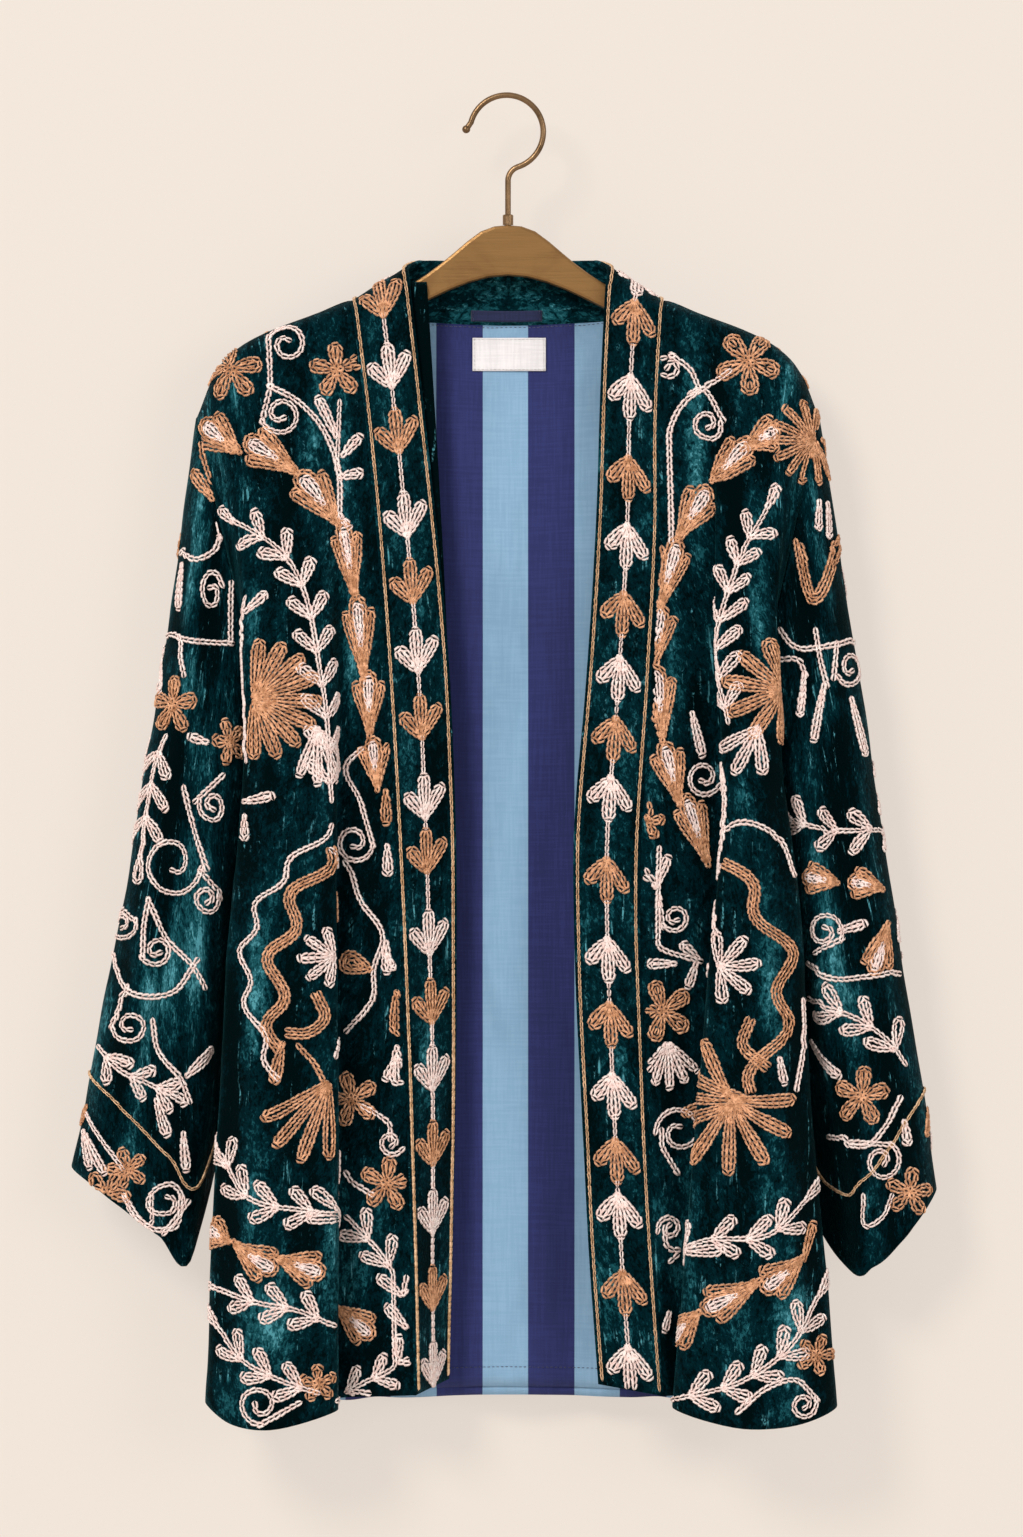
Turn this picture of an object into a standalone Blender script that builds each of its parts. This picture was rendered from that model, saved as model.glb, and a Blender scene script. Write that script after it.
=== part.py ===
"""Open-front kimono jacket in lined velvet, hung on a flat shaped hanger.

Every piece is cut and joined as on the real jacket: a back, two fronts, two sleeves, a neck band in two
halves, a back lining, a label and a hanging loop, with a hanger board, its ferrule and its wire hook.
The origin is the inside of the hook's top, where a rail carries it. The jacket opens towards -Y, and left
and right are the wearer's, so left is at +X. Tables are in millimetres, and the meshes are in metres.
"""

from math import cos, pi, radians, sin, sqrt

import bmesh
import bpy
import numpy as np

MM = 0.001
LEFT, RIGHT = 1, -1
FRONT_FACE, BACK_FACE = -1, 1

# Walls and clearances of the cloth
VELVET_WALL = 2.0
BAND_WALL = 2.4
LINING_WALL = 1.0
TRIM_WALL = 1.0
SEAM_GAP = 1.2
BAND_GAP = 0.8
LAYER_GAP = 0.5

# Rows of a body panel, counted from the shoulder: short steps over the hanger, then even ones to the hem
SHOULDER_DROPS = [0, 1, 3, 6.5, 12, 25, 50]
EVEN_ROWS = 14
SHOULDER_ROWS = len(SHOULDER_DROPS) - 1
PANEL_ROWS = SHOULDER_ROWS + EVEN_ROWS
UNDERARM_ROW = 9
SHOULDER_ROUND = 12.0
FRONT_COLUMNS_A_SPAN = 3
BACK_COLUMNS_A_SPAN = 2

# The armhole leans in from the shoulder point to the underarm
SHOULDER_POINT = (211.0, -218.0)
HEM_HEIGHT = -882.0
ARMHOLE_LEAN = 41.0
ARMHOLE_DEPTH = 17.0
UNDERARM_GAP = 1.8
EDGE_LENGTH = SHOULDER_POINT[1] - HEM_HEIGHT
EDGE_ROW_STEP = (EDGE_LENGTH - SHOULDER_DROPS[-1]) / EVEN_ROWS
UNDERARM_DROP = SHOULDER_DROPS[-1] + EDGE_ROW_STEP * (UNDERARM_ROW - SHOULDER_ROWS)

# Top edge of the shoulders: distance out from the centre, height
SHOULDER = [
    (106, -138.6),
    (142, -152),
    (174, -165.6),
    (193, -180),
    (205, -200),
    (211, -218),
]

# Lines that the cloth of each front follows down from the shoulder to the hem.
# A fold is a line at its crest or in its trough: height, out, depth.
FRONT_LINES = {
    LEFT: {
        "seam": [
            (-138.6, 106, -13),
            (-222, 102, -16),
            (-287, 102, -18),
            (-398, 96.5, -22),
            (-520, 89, -26),
            (-654, 92, -28),
            (-745, 96, -30),
            (-880, 105, -32),
        ],
        "valley": [
            (-148, 131, -13),
            (-267, 139, -14),
            (-360, 146, -12),
            (-480, 151, -12),
            (-613, 144, -12),
            (-738, 137, -12),
            (-880, 130, -12),
        ],
        "fold": [
            (-155, 150, -13),
            (-267, 143, -19),
            (-360, 142, -29),
            (-480, 145, -37),
            (-613, 134.5, -42),
            (-738, 125.5, -44),
            (-887, 112, -45),
        ],
        "crest": [
            (-162, 167, -13),
            (-279, 160, -22),
            (-409, 163, -38),
            (-613, 160, -52),
            (-760, 158, -55),
            (-900, 158, -56),
        ],
        "outer": [
            (-171, 183, -13),
            (-279, 175, -25),
            (-409, 176, -38),
            (-613, 184, -48),
            (-760, 191, -52),
            (-897, 198, -52),
        ],
        "ridge": [
            (-183, 196, -13),
            (-225, 187, -22),
            (-287, 184, -28),
            (-450, 186.5, -32),
            (-562, 197, -35),
            (-675, 204.5, -37),
            (-805, 215.5, -38),
            (-887, 221, -38),
        ],
    },
    RIGHT: {
        "seam": [
            (-138.6, 106, -13),
            (-200, 98.5, -15),
            (-279, 90.5, -18),
            (-375, 83, -22),
            (-488, 76.5, -25),
            (-613, 71, -28),
            (-760, 66, -32),
            (-879, 63, -36),
        ],
        "valley": [
            (-148, 127, -13),
            (-279, 113, -13),
            (-409, 112, -12),
            (-540, 119, -12),
            (-700, 122, -12),
            (-884, 122, -12),
        ],
        "fold": [
            (-154, 146, -13),
            (-279, 129, -19),
            (-409, 121, -30),
            (-540, 117.5, -37),
            (-700, 117, -41),
            (-889, 117, -43),
        ],
        "crest": [
            (-162, 165, -13),
            (-279, 150, -24),
            (-409, 146, -38),
            (-613, 150, -50),
            (-760, 157, -54),
            (-901, 160, -55),
        ],
        "outer": [
            (-171, 182, -13),
            (-279, 169, -26),
            (-409, 165, -38),
            (-613, 176, -46),
            (-760, 183, -50),
            (-897, 187, -50),
        ],
        "ridge": [
            (-183, 195, -13),
            (-225, 187, -22),
            (-322, 179, -30),
            (-422, 178, -31),
            (-513, 183, -33),
            (-600, 190, -35),
            (-719, 197.5, -37),
            (-884, 202.5, -38),
        ],
    },
}

# Side seams below the underarm: height, out, depth
SIDE_SEAMS = {
    LEFT: [(-401, 171, 0), (-450, 173, 1), (-506, 181, 2), (-617, 189, 2), (-748, 196, 2), (-882, 208, 2)],
    RIGHT: [(-401, 171, 0), (-450, 168, 1), (-513, 171, 2), (-600, 178, 2), (-719, 186, 2), (-882, 191, 2)],
}

# Lines of each half of the back, from the side to the middle: height, out, depth
BACK_LINES = {
    LEFT: {
        "ridge": [
            (-183, 196, 13),
            (-225, 186, 18),
            (-322, 178, 21),
            (-450, 179, 21),
            (-562, 190, 23),
            (-675, 198, 25),
            (-805, 208, 27),
            (-886, 213, 28),
        ],
        "trough": [
            (-165, 172, 13),
            (-279, 154, 16),
            (-450, 148, 15),
            (-650, 158, 13),
            (-884, 168, 14),
        ],
        "yoke": [
            (-147.5, 130, 13),
            (-279, 136, 17),
            (-450, 131, 18),
            (-650, 138, 20),
            (-886, 145, 23),
        ],
        "crest": [
            (-138.6, 106, 13),
            (-279, 116, 18),
            (-450, 112, 20),
            (-650, 118, 27),
            (-888, 122, 32),
        ],
        "corner": [
            (-143, 98, 10.5),
            (-279, 99, 17.5),
            (-450, 96, 19),
            (-650, 100, 22),
            (-885, 103, 25),
        ],
        "hollow": [
            (-149, 80, 14.5),
            (-279, 82, 16.5),
            (-450, 80, 17),
            (-650, 82, 17),
            (-885, 84, 18),
        ],
        "pleat": [
            (-152, 42, 16.2),
            (-279, 42, 17),
            (-450, 44, 18),
            (-650, 45, 20),
            (-884, 47, 22),
        ],
    },
    RIGHT: {
        "ridge": [
            (-183, 195, 13),
            (-225, 186, 18),
            (-322, 176, 21),
            (-422, 173, 21),
            (-513, 177, 22),
            (-600, 184, 24),
            (-719, 191, 26),
            (-886, 197, 28),
        ],
        "trough": [
            (-165, 172, 13),
            (-279, 150, 16),
            (-450, 138, 14),
            (-650, 144, 12),
            (-884, 150, 13),
        ],
        "yoke": [
            (-147.5, 130, 13),
            (-279, 132, 17),
            (-450, 121, 17),
            (-650, 124, 19),
            (-886, 128, 22),
        ],
        "crest": [
            (-138.6, 106, 13),
            (-279, 112, 18),
            (-450, 104, 21),
            (-650, 106, 28),
            (-888, 108, 33),
        ],
        "corner": [
            (-143, 98, 10.5),
            (-279, 95, 17.5),
            (-450, 89, 19),
            (-650, 89, 21),
            (-885, 90, 24),
        ],
        "hollow": [
            (-149, 80, 14.5),
            (-279, 78, 16.5),
            (-450, 74, 16),
            (-650, 72, 15),
            (-885, 72, 16),
        ],
        "pleat": [
            (-152, 42, 16.2),
            (-279, 40, 17),
            (-450, 38, 18.5),
            (-650, 36, 21),
            (-884, 36, 23),
        ],
    },
}
CENTRE_BACK = [(-153.5, 0, 16.5), (-279, 0, 16.5), (-450, 0, 16), (-650, 0, 16), (-883, 0, 17)]
NECK_LINES = ("corner", "hollow", "pleat")
SHOULDER_CREST = 4
CENTRE_PLACE = 8
BACK_SPANS = 2 * CENTRE_PLACE

# Free edge of each half of the band, up the front to the shoulder: height, out, depth
BAND_EDGE = {
    LEFT: [
        (-872, 61, -30),
        (-788, 55, -28),
        (-710, 51, -27),
        (-575, 45, -24),
        (-506, 44.5, -22),
        (-398, 53, -15),
        (-287, 60, -10),
        (-194, 63, -11),
        (-130, 66, -11.5),
    ],
    RIGHT: [
        (-871, 41, 3),
        (-739, 37.5, 0),
        (-600, 35.5, -4),
        (-488, 36, -8),
        (-375, 41, -11),
        (-279, 50, -8),
        (-194, 59, -9),
        (-130, 66, -11.5),
    ],
}
# Free edge of the band round the neck: place, out, depth, height. The band leaves the front at place 1,
# crosses the shoulder at place 2 and then follows the back's neck, a place for each of the back's lines.
BAND_NECK_EDGE = [
    (1.5, 67.5, -6.5, -120),
    (2, 67.5, -0.5, -115.5),
    (3, 61, 12, -110.5),
    (4, 54, 15, -109.5),
    (5, 30, 17, -110),
    (6, 0, 17.5, -110.5),
]
NECK_PLACE = 2
BAND_TOP_DROP = 6.0
BAND_FRONT_ROWS = 18
BAND_NECK_ROWS = 10
BAND_COLUMNS = 3

# Lines round each sleeve: share of the way from the top fold to the underarm, which face of the sleeve,
# then the line's place at the cuff, and how far it bows out and swells in depth half way down.
SLEEVE_LINES = {
    LEFT: [
        # share, face, out, depth, height, bow, swell
        (0.00, FRONT_FACE, 290.5, 0, -741, 0, 0),
        (0.22, FRONT_FACE, 278.0, -19, -762, 0, -3),
        (0.45, FRONT_FACE, 262.0, -16, -782, 0, -1),
        (0.68, FRONT_FACE, 247.0, -20, -794, 0, -4),
        (0.90, FRONT_FACE, 234.0, -9, -798, 0, 0),
        (1.00, FRONT_FACE, 222.0, 6, -786, 0, 3),
        (0.88, BACK_FACE, 212.0, 20, -768, 0, 0),
        (0.52, BACK_FACE, 244.0, 25, -764, 0, 2),
        (0.20, BACK_FACE, 277.0, 18, -748, 0, 1),
    ],
    RIGHT: [
        (0.00, FRONT_FACE, 295.5, 0, -726, -5, 0),
        (0.22, FRONT_FACE, 278.0, -20, -741, -4, -5),
        (0.45, FRONT_FACE, 258.0, -15, -757, -2, -1),
        (0.68, FRONT_FACE, 236.0, -20, -773, 0, -3),
        (0.90, FRONT_FACE, 215.0, -8, -788, 0, 0),
        (1.00, FRONT_FACE, 205.0, 8, -750, 0, 3),
        (0.88, BACK_FACE, 199.0, 20, -712, 0, 0),
        (0.52, BACK_FACE, 242.0, 25, -722, -2, 2),
        (0.20, BACK_FACE, 276.0, 18, -724, -4, 1),
    ],
}
SLEEVE_ROWS = 15
CAP_SHARE = 0.2

# Lining, label and hanging loop on the inside of the back
LINING_SPANS = (1.5, 14.5)
LINING_ROWS = 14
LINING_TOP_ROW = 1.2
LINING_SHOULDER_ROW = 4.8
LINING_HEM_TURN = 0.12
LABEL_SIZE = (50.0, 22.6)
LABEL_CENTRE = (0.8, -173.6)
LOOP_SIZE = (48.0, 7.5)
LOOP_CENTRE = (-1.0, -143.5)
LOOP_STAND = 2.6
LOOP_RISE = 0.25

# Hanger board: half of its top edge and of its underside, out and height
BOARD_TOP = [(0, -86.7), (10, -87.7), (20, -91.8), (31, -100.6), (43, -110.8), (60, -123.2), (80, -134),
             (108, -146), (142, -156.5), (174, -169.6), (184, -175)]
BOARD_UNDER = [(0, -120.7), (14, -122), (31, -127), (48, -134.4), (63, -142), (100, -156.5), (142, -173.5),
               (174, -187), (184, -190)]
BOARD_TIP = (190.0, -182.5)
BOARD_TOP_STEPS = 20
BOARD_UNDER_STEPS = 14
BOARD_THICKNESS = 12.0
BOARD_EDGE = 2.0

# Hook: a round bend over the rail, then a small elbow into the stem
WIRE = 4.0
HOOK_RADIUS = 25.0
HOOK_CENTRE = (-1.0, -23.0)
HOOK_START = 165
HOOK_TIP = (-28.4, -21.2)
ELBOW_RADIUS = 10.0
BALL = 5.6
FERRULE = (7.2, 7.0)
FERRULE_EDGE = 0.6
FERRULE_SEAT = 0.4
TOUCH_GAP = 0.3

VELVET = ((0.003, 0.030, 0.034), 0.6, 0.0)
BAND_VELVET = ((0.004, 0.034, 0.038), 0.6, 0.0)
LINING = ((0.020, 0.024, 0.110), 0.8, 0.0)
LABEL_CLOTH = ((0.82, 0.80, 0.78), 0.8, 0.0)
BRASS = ((0.33, 0.17, 0.055), 0.38, 1.0)
DARK_BRASS = ((0.20, 0.12, 0.06), 0.35, 1.0)


def smooth(keys, values, at):
    """Curve through values at rising keys, whose slope at each comes from its neighbours."""
    keys, values = np.asarray(keys, float), np.asarray(values, float)
    slopes = np.gradient(values, keys, axis=0)
    i = int(np.clip(np.searchsorted(keys, at, side="right") - 1, 0, len(keys) - 2))
    span = keys[i + 1] - keys[i]
    t = (at - keys[i]) / span
    start = (1 + 2 * t) * (1 - t) ** 2 * values[i] + t * (1 - t) ** 2 * span * slopes[i]
    end = t * t * (3 - 2 * t) * values[i + 1] + t * t * (t - 1) * span * slopes[i + 1]
    return start + end


def shoulder_height(out):
    return smooth([row[0] for row in SHOULDER], [row[1] for row in SHOULDER], out)


def drop_at(row, length):
    """How far below its top a line is at this row of the panel."""
    if row <= SHOULDER_ROWS:
        return float(np.interp(row, range(SHOULDER_ROWS + 1), SHOULDER_DROPS))
    return SHOULDER_DROPS[-1] + (length - SHOULDER_DROPS[-1]) * (row - SHOULDER_ROWS) / EVEN_ROWS


def line_point(side, rows, row, over_shoulder=True):
    """Point of a line of cloth. Over the shoulder it starts at the seam and rounds off the hanger."""
    heights, out, depth = np.array(rows, float).T
    top = shoulder_height(out[0]) if over_shoulder else heights[0]
    drop = drop_at(row, top - heights[-1])
    height = top - drop
    x, y = smooth(-heights, np.stack([out, depth], 1), max(-height, -heights[0]))
    if over_shoulder and drop < SHOULDER_ROUND:
        y *= sqrt(1 - (1 - drop / SHOULDER_ROUND) ** 2)
    return np.array([side * x, y, height])


def armhole_point(side, share, face):
    """Point of the armhole seam, share of the way from the shoulder point to the underarm."""
    out, height = SHOULDER_POINT
    depth = face * ARMHOLE_DEPTH * 2 * sqrt(max(share * (1 - share), 0))
    return np.array([side * (out - ARMHOLE_LEAN * share), depth, height - UNDERARM_DROP * share])


def edge_point(side, face, row):
    """Point of a body panel's outer edge: the armhole, and below it the side seam."""
    drop = drop_at(row, EDGE_LENGTH)
    if drop <= UNDERARM_DROP:
        point = armhole_point(side, drop / UNDERARM_DROP, face)
    else:
        heights, out, depth = np.array(SIDE_SEAMS[side], float).T
        height = SHOULDER_POINT[1] - drop
        x, y = smooth(-heights, np.stack([out, depth], 1), -height)
        point = np.array([side * x, y, height])
    return point + np.array([-side * SEAM_GAP / 2, face * SEAM_GAP / 2, 0])


def across(points, at):
    """Points of the smooth section through a row's points, at places counted in spans."""
    points = np.asarray(points)
    steps = np.sqrt(np.linalg.norm(np.diff(points, axis=0), axis=1))
    keys = np.concatenate([[0], np.cumsum(steps)])
    places = np.interp(at, range(len(keys)), keys)
    return np.array([smooth(keys, points, place) for place in places])


def front_section(side, row):
    points = [line_point(side, rows, row) for rows in FRONT_LINES[side].values()]
    points[0][0] += side * SEAM_GAP / 2
    for point in points:
        point[1] -= SEAM_GAP / 2 if row == 0 else 0
    return points + [edge_point(side, FRONT_FACE, row)]


def back_section(row):
    halves = {}
    for side in (LEFT, RIGHT):
        points = [edge_point(side, BACK_FACE, row)]
        for name, rows in BACK_LINES[side].items():
            points.append(line_point(side, rows, row, over_shoulder=name not in NECK_LINES))
        for point in points[1 : SHOULDER_CREST + 1]:
            point[1] += SEAM_GAP / 2 if row == 0 else 0
        halves[side] = points
    centre = line_point(LEFT, CENTRE_BACK, row, over_shoulder=False)
    return halves[LEFT] + [centre] + halves[RIGHT][::-1]


def sleeve_ring(side, along, shares):
    """Points round the sleeve at this share of its length; shares run 0 to 1 down the front and 1 to 2 up."""
    table = SLEEVE_LINES[side]
    lines, keys = [], []
    for share, face, out, depth, height, bow, swell in table:
        start = armhole_point(side, share, face)
        point = start + (np.array([side * out, depth, height]) - start) * along
        point += np.array([side * bow, swell, 0]) * 4 * along * (1 - along)
        lines.append(point)
        keys.append(share if face == FRONT_FACE else 2 - share)
    keys = np.array(keys[-2:], float) - 2, keys, np.array(keys[:3], float) + 2
    keys = np.concatenate(keys)
    lines = np.array(lines[-2:] + lines + lines[:3])
    blend = min(along / CAP_SHARE, 1)
    blend = blend * blend * (3 - 2 * blend)
    ring = []
    for share in shares:
        face = FRONT_FACE if share <= 1 else BACK_FACE
        seam = armhole_point(side, share if share <= 1 else 2 - share, face)
        ring.append(seam + (smooth(keys, lines, share) - seam) * blend)
    ring = np.array(ring)
    down = 1 - np.abs(1 - np.asarray(shares))
    ring[:, 0] += side * (SEAM_GAP / 2 + UNDERARM_GAP * down) * (1 - blend)
    return ring


def sleeve_shares(along):
    """Places of the columns: at the top as the armhole's rows, and evenly spread at the cuff."""
    rows = [drop_at(row, EDGE_LENGTH) / UNDERARM_DROP for row in range(UNDERARM_ROW + 1)]
    even = np.linspace(0, 1, UNDERARM_ROW + 1)
    front = np.array(rows) * (1 - along) + even * along
    return np.concatenate([front, 2 - front[-2:0:-1]])


def neck_point(side, place):
    """Point of the band's seam on the back's neck edge, just above it."""
    span = SHOULDER_CREST + place - NECK_PLACE
    point = across(back_section(0), [span if side == LEFT else BACK_SPANS - span])[0]
    return point + np.array([0, 0, SEAM_GAP / 2])


def band_edges(side, along):
    """Seam and free edge of the band: along runs 0 to 1 up the front, and 1 to 6 round the neck."""
    if along <= 1:
        seam = FRONT_LINES[side]["seam"]
        heights, out, depth = np.array(seam[::-1], float).T
        height = heights[0] + (heights[-1] - BAND_TOP_DROP - heights[0]) * along
        x, y = smooth(heights, np.stack([out, depth], 1), height)
        edge_heights, edge_out, edge_depth = np.array(BAND_EDGE[side], float).T
        edge_height = edge_heights[0] + (edge_heights[-1] - edge_heights[0]) * along
        free = smooth(edge_heights, np.stack([edge_out, edge_depth], 1), edge_height)
        return np.array([side * x, y, height]), np.array([side * free[0], free[1], edge_height])
    last = FRONT_LINES[side]["seam"]
    seam_front, free_front = band_edges(side, 1)
    if along < NECK_PLACE:
        turn = [seam_front, line_point(side, last, 2), neck_point(side, NECK_PLACE)]
        seam = smooth([1, (1 + NECK_PLACE) / 2, NECK_PLACE], turn, along)
    else:
        seam = neck_point(side, along)
    keys = [1] + [row[0] for row in BAND_NECK_EDGE]
    frees = [free_front] + [np.array([side * out, y, z]) for _, out, y, z in BAND_NECK_EDGE]
    return seam, smooth(keys, frees, along)


def band_grid(side):
    """Rows of points across the band, a little clear of the panels it is sewn to and of its other half."""
    alongs = list(np.linspace(0, 1, BAND_FRONT_ROWS + 1)[:-1])
    alongs += list(np.linspace(1, BAND_NECK_EDGE[-1][0], BAND_NECK_ROWS + 1))
    grid = []
    for along in alongs:
        seam, free = band_edges(side, along)
        inward = (free - seam) / np.linalg.norm(free - seam)
        seam = seam + inward * BAND_GAP
        grid.append([seam + (free - seam) * share for share in np.linspace(0, 1, BAND_COLUMNS + 1)])
    grid = np.array(grid)
    grid[-1, :, 0] += side * TOUCH_GAP
    return grid


def surface_normals(grid, closed=False):
    """Unit normals of a grid of points, from its neighbours along and across."""
    down = np.gradient(grid, axis=0)
    if closed:
        over = (np.roll(grid, -1, axis=1) - np.roll(grid, 1, axis=1)) / 2
    else:
        over = np.gradient(grid, axis=1)
    normals = np.cross(down, over)
    return normals / np.linalg.norm(normals, axis=2, keepdims=True)


def lining_grid():
    """The back's own points, moved in by the wall, a gap and half the lining."""
    inset = VELVET_WALL / 2 + LAYER_GAP + LINING_WALL / 2
    places = np.linspace(*LINING_SPANS, 2 * int(LINING_SPANS[1] - LINING_SPANS[0]) + 1)
    grid = []
    for share in np.linspace(0, 1, LINING_ROWS + 1):
        line = []
        for place in places:
            from_neck = np.clip(abs(place - CENTRE_PLACE) - 2, 0, 1)
            start = LINING_TOP_ROW + (LINING_SHOULDER_ROW - LINING_TOP_ROW) * from_neck
            row = start + (PANEL_ROWS - LINING_HEM_TURN - start) * share
            line.append(across(back_section(row), [place])[0])
        grid.append(line)
    grid = np.array(grid)
    normals = surface_normals(grid)
    normals *= -np.sign(normals[LINING_ROWS // 2, len(places) // 2, 1])
    return grid + normals * inset


def clear_scene():
    for thing in list(bpy.data.objects):
        bpy.data.objects.remove(thing)


def material(name, finish):
    colour, roughness, metallic = finish
    made = bpy.data.materials.new(name)
    made.use_nodes = True
    shader = made.node_tree.nodes["Principled BSDF"]
    shader.inputs["Base Color"].default_value = (*colour, 1)
    shader.inputs["Roughness"].default_value = roughness
    shader.inputs["Metallic"].default_value = metallic
    return made


def add(name, data, finish, collection):
    thing = bpy.data.objects.new(name, data)
    collection.objects.link(thing)
    data.materials.append(finish)
    return thing


def cloth(name, grid, wall, finish, collection, closed=False):
    """A wall of cloth: the open surface through a grid of points, with Solidify for its thickness."""
    rows, columns = grid.shape[:2]
    faces = []
    for row in range(rows - 1):
        for column in range(columns if closed else columns - 1):
            beside = (column + 1) % columns
            top, low = row * columns, (row + 1) * columns
            faces.append((top + column, low + column, low + beside, top + beside))
    mesh = bpy.data.meshes.new(name)
    mesh.from_pydata([tuple(point) for point in grid.reshape(-1, 3) * MM], [], faces)
    mesh.shade_smooth()
    thing = add(name, mesh, finish, collection)
    shell = thing.modifiers.new("wall", "SOLIDIFY")
    shell.thickness = wall * MM
    shell.offset = 0
    return thing


def patch_on_lining(centre, size, columns, rows):
    """A small rectangle that lies on the lining's inner face, as a grid of points."""
    inset = VELVET_WALL / 2 + 2 * LAYER_GAP + LINING_WALL + TRIM_WALL / 2
    grid = []
    for z in np.linspace(centre[1] + size[1] / 2, centre[1] - size[1] / 2, rows + 1):
        row = np.interp(CENTRE_BACK[0][0] - z, SHOULDER_DROPS, range(len(SHOULDER_DROPS)))
        line = []
        for x in np.linspace(centre[0] - size[0] / 2, centre[0] + size[0] / 2, columns + 1):
            section = back_section(row)
            place = np.interp(-x, [-point[0] for point in section], range(len(section)))
            point = across(section, [place])[0]
            line.append((x, point[1] - inset, z))
        grid.append(line)
    return np.array(grid)


def loop_grid():
    """The hanging loop: its ends lie on the band and its middle stands a little off it."""
    width, height = LOOP_SIZE
    grid = []
    for share in np.linspace(-1, 1, 13):
        stand = LOOP_STAND * min(1, (1 - abs(share)) / LOOP_RISE)
        depth = CENTRE_BACK[0][2] - BAND_WALL / 2 - LAYER_GAP - TRIM_WALL / 2 - stand
        x = LOOP_CENTRE[0] + share * width / 2
        grid.append([(x, depth, LOOP_CENTRE[1] - drop) for drop in (0, height / 2, height)])
    return np.array(grid)


def board(finish, collection):
    """The hanger's board: a flat outline with rounded edges, stood up in the jacket's plane."""
    half = []
    for table, steps in ((BOARD_TOP, BOARD_TOP_STEPS), (BOARD_UNDER, BOARD_UNDER_STEPS)):
        outs, heights = [row[0] for row in table], [row[1] for row in table]
        places = np.linspace(0, outs[-1], steps + 1)
        half.append([(x, float(smooth(outs, heights, x))) for x in places])
    top, under = half
    right = top + [BOARD_TIP] + under[::-1]
    outline = right + [(-x, z) for x, z in right[::-1][1:-1]]
    curve = bpy.data.curves.new("hanger_board", "CURVE")
    curve.dimensions = "2D"
    curve.fill_mode = "BOTH"
    curve.bevel_depth = BOARD_EDGE * MM
    curve.bevel_resolution = 1
    curve.offset = -BOARD_EDGE * MM
    curve.extrude = (BOARD_THICKNESS / 2 - BOARD_EDGE) * MM
    spline = curve.splines.new("POLY")
    spline.points.add(len(outline) - 1)
    for point, (x, z) in zip(spline.points, outline):
        point.co = (x * MM, z * MM, 0, 1)
    spline.use_cyclic_u = True
    thing = add("hanger_board", curve, finish, collection)
    thing.rotation_euler = (pi / 2, 0, 0)
    return thing


def hook_path():
    """Points of the wire's middle: over the rail, round, and down through the elbow to the board."""
    cx, cz = HOOK_CENTRE
    gap = HOOK_RADIUS + ELBOW_RADIUS
    elbow = (ELBOW_RADIUS, cz - sqrt(gap**2 - (ELBOW_RADIUS - cx) ** 2))
    meet = np.degrees(np.arctan2(elbow[1] - cz, elbow[0] - cx))
    points = [HOOK_TIP]
    for angle in np.linspace(HOOK_START, meet, 25):
        turn = radians(angle)
        points.append((cx + HOOK_RADIUS * cos(turn), cz + HOOK_RADIUS * sin(turn)))
    for angle in np.linspace(meet + 180, 180, 7)[1:]:
        turn = radians(angle)
        points.append((elbow[0] + ELBOW_RADIUS * cos(turn), elbow[1] + ELBOW_RADIUS * sin(turn)))
    points.append((0, BOARD_TOP[0][1] + TOUCH_GAP))
    return points


def hook(finish, collection):
    """The wire hook, with a ball fused to its end."""
    path = hook_path()
    curve = bpy.data.curves.new("hook_wire", "CURVE")
    curve.dimensions = "3D"
    curve.bevel_depth = WIRE / 2 * MM
    curve.bevel_resolution = 2
    curve.use_fill_caps = True
    spline = curve.splines.new("POLY")
    spline.points.add(len(path) - 1)
    for point, (x, z) in zip(spline.points, path):
        point.co = (x * MM, 0, z * MM, 1)
    guide = bpy.data.objects.new("hook_wire", curve)
    collection.objects.link(guide)
    bpy.context.view_layer.update()
    mesh = bpy.data.meshes.new_from_object(guide.evaluated_get(bpy.context.evaluated_depsgraph_get()))
    bpy.data.objects.remove(guide)
    tidy = bmesh.new()
    tidy.from_mesh(mesh)
    bmesh.ops.remove_doubles(tidy, verts=tidy.verts, dist=0.00001)
    bmesh.ops.recalc_face_normals(tidy, faces=tidy.faces)
    tidy.to_mesh(mesh)
    tidy.free()
    mesh.materials.clear()
    wire = add("hanger_hook", mesh, finish, collection)

    ball_mesh = bpy.data.meshes.new("hook_ball")
    round_end = bmesh.new()
    bmesh.ops.create_uvsphere(round_end, u_segments=16, v_segments=10, radius=BALL / 2 * MM)
    round_end.to_mesh(ball_mesh)
    round_end.free()
    ball = bpy.data.objects.new("hook_ball", ball_mesh)
    ball.location = (path[0][0] * MM, 0, path[0][1] * MM)
    ball.hide_render = True
    ball.display_type = "WIRE"
    cutters = bpy.data.collections.new("joined_shapes")
    bpy.context.scene.collection.children.link(cutters)
    cutters.objects.link(ball)
    join = wire.modifiers.new("ball", "BOOLEAN")
    join.operation = "UNION"
    join.object = ball
    return wire


def ferrule(finish, collection):
    """The collar at the foot of the stem, turned round a clear bore."""
    width, height = FERRULE
    inner, outer = (WIRE / 2 + TOUCH_GAP) * MM, width / 2 * MM
    low = (BOARD_TOP[0][1] + FERRULE_SEAT) * MM
    high = low + height * MM
    edge = FERRULE_EDGE * MM
    profile = [(inner, high), (outer - edge, high), (outer, high - edge), (outer, low), (inner, low)]
    mesh = bpy.data.meshes.new("hanger_ferrule")
    corners = [(x, 0, z) for x, z in profile]
    mesh.from_pydata(corners, [(i, (i + 1) % len(corners)) for i in range(len(corners))], [])
    thing = add("hanger_ferrule", mesh, finish, collection)
    turn = thing.modifiers.new("turn", "SCREW")
    turn.steps = turn.render_steps = 20
    turn.use_merge_vertices = True
    turn.merge_threshold = 0.00001
    return thing


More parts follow.
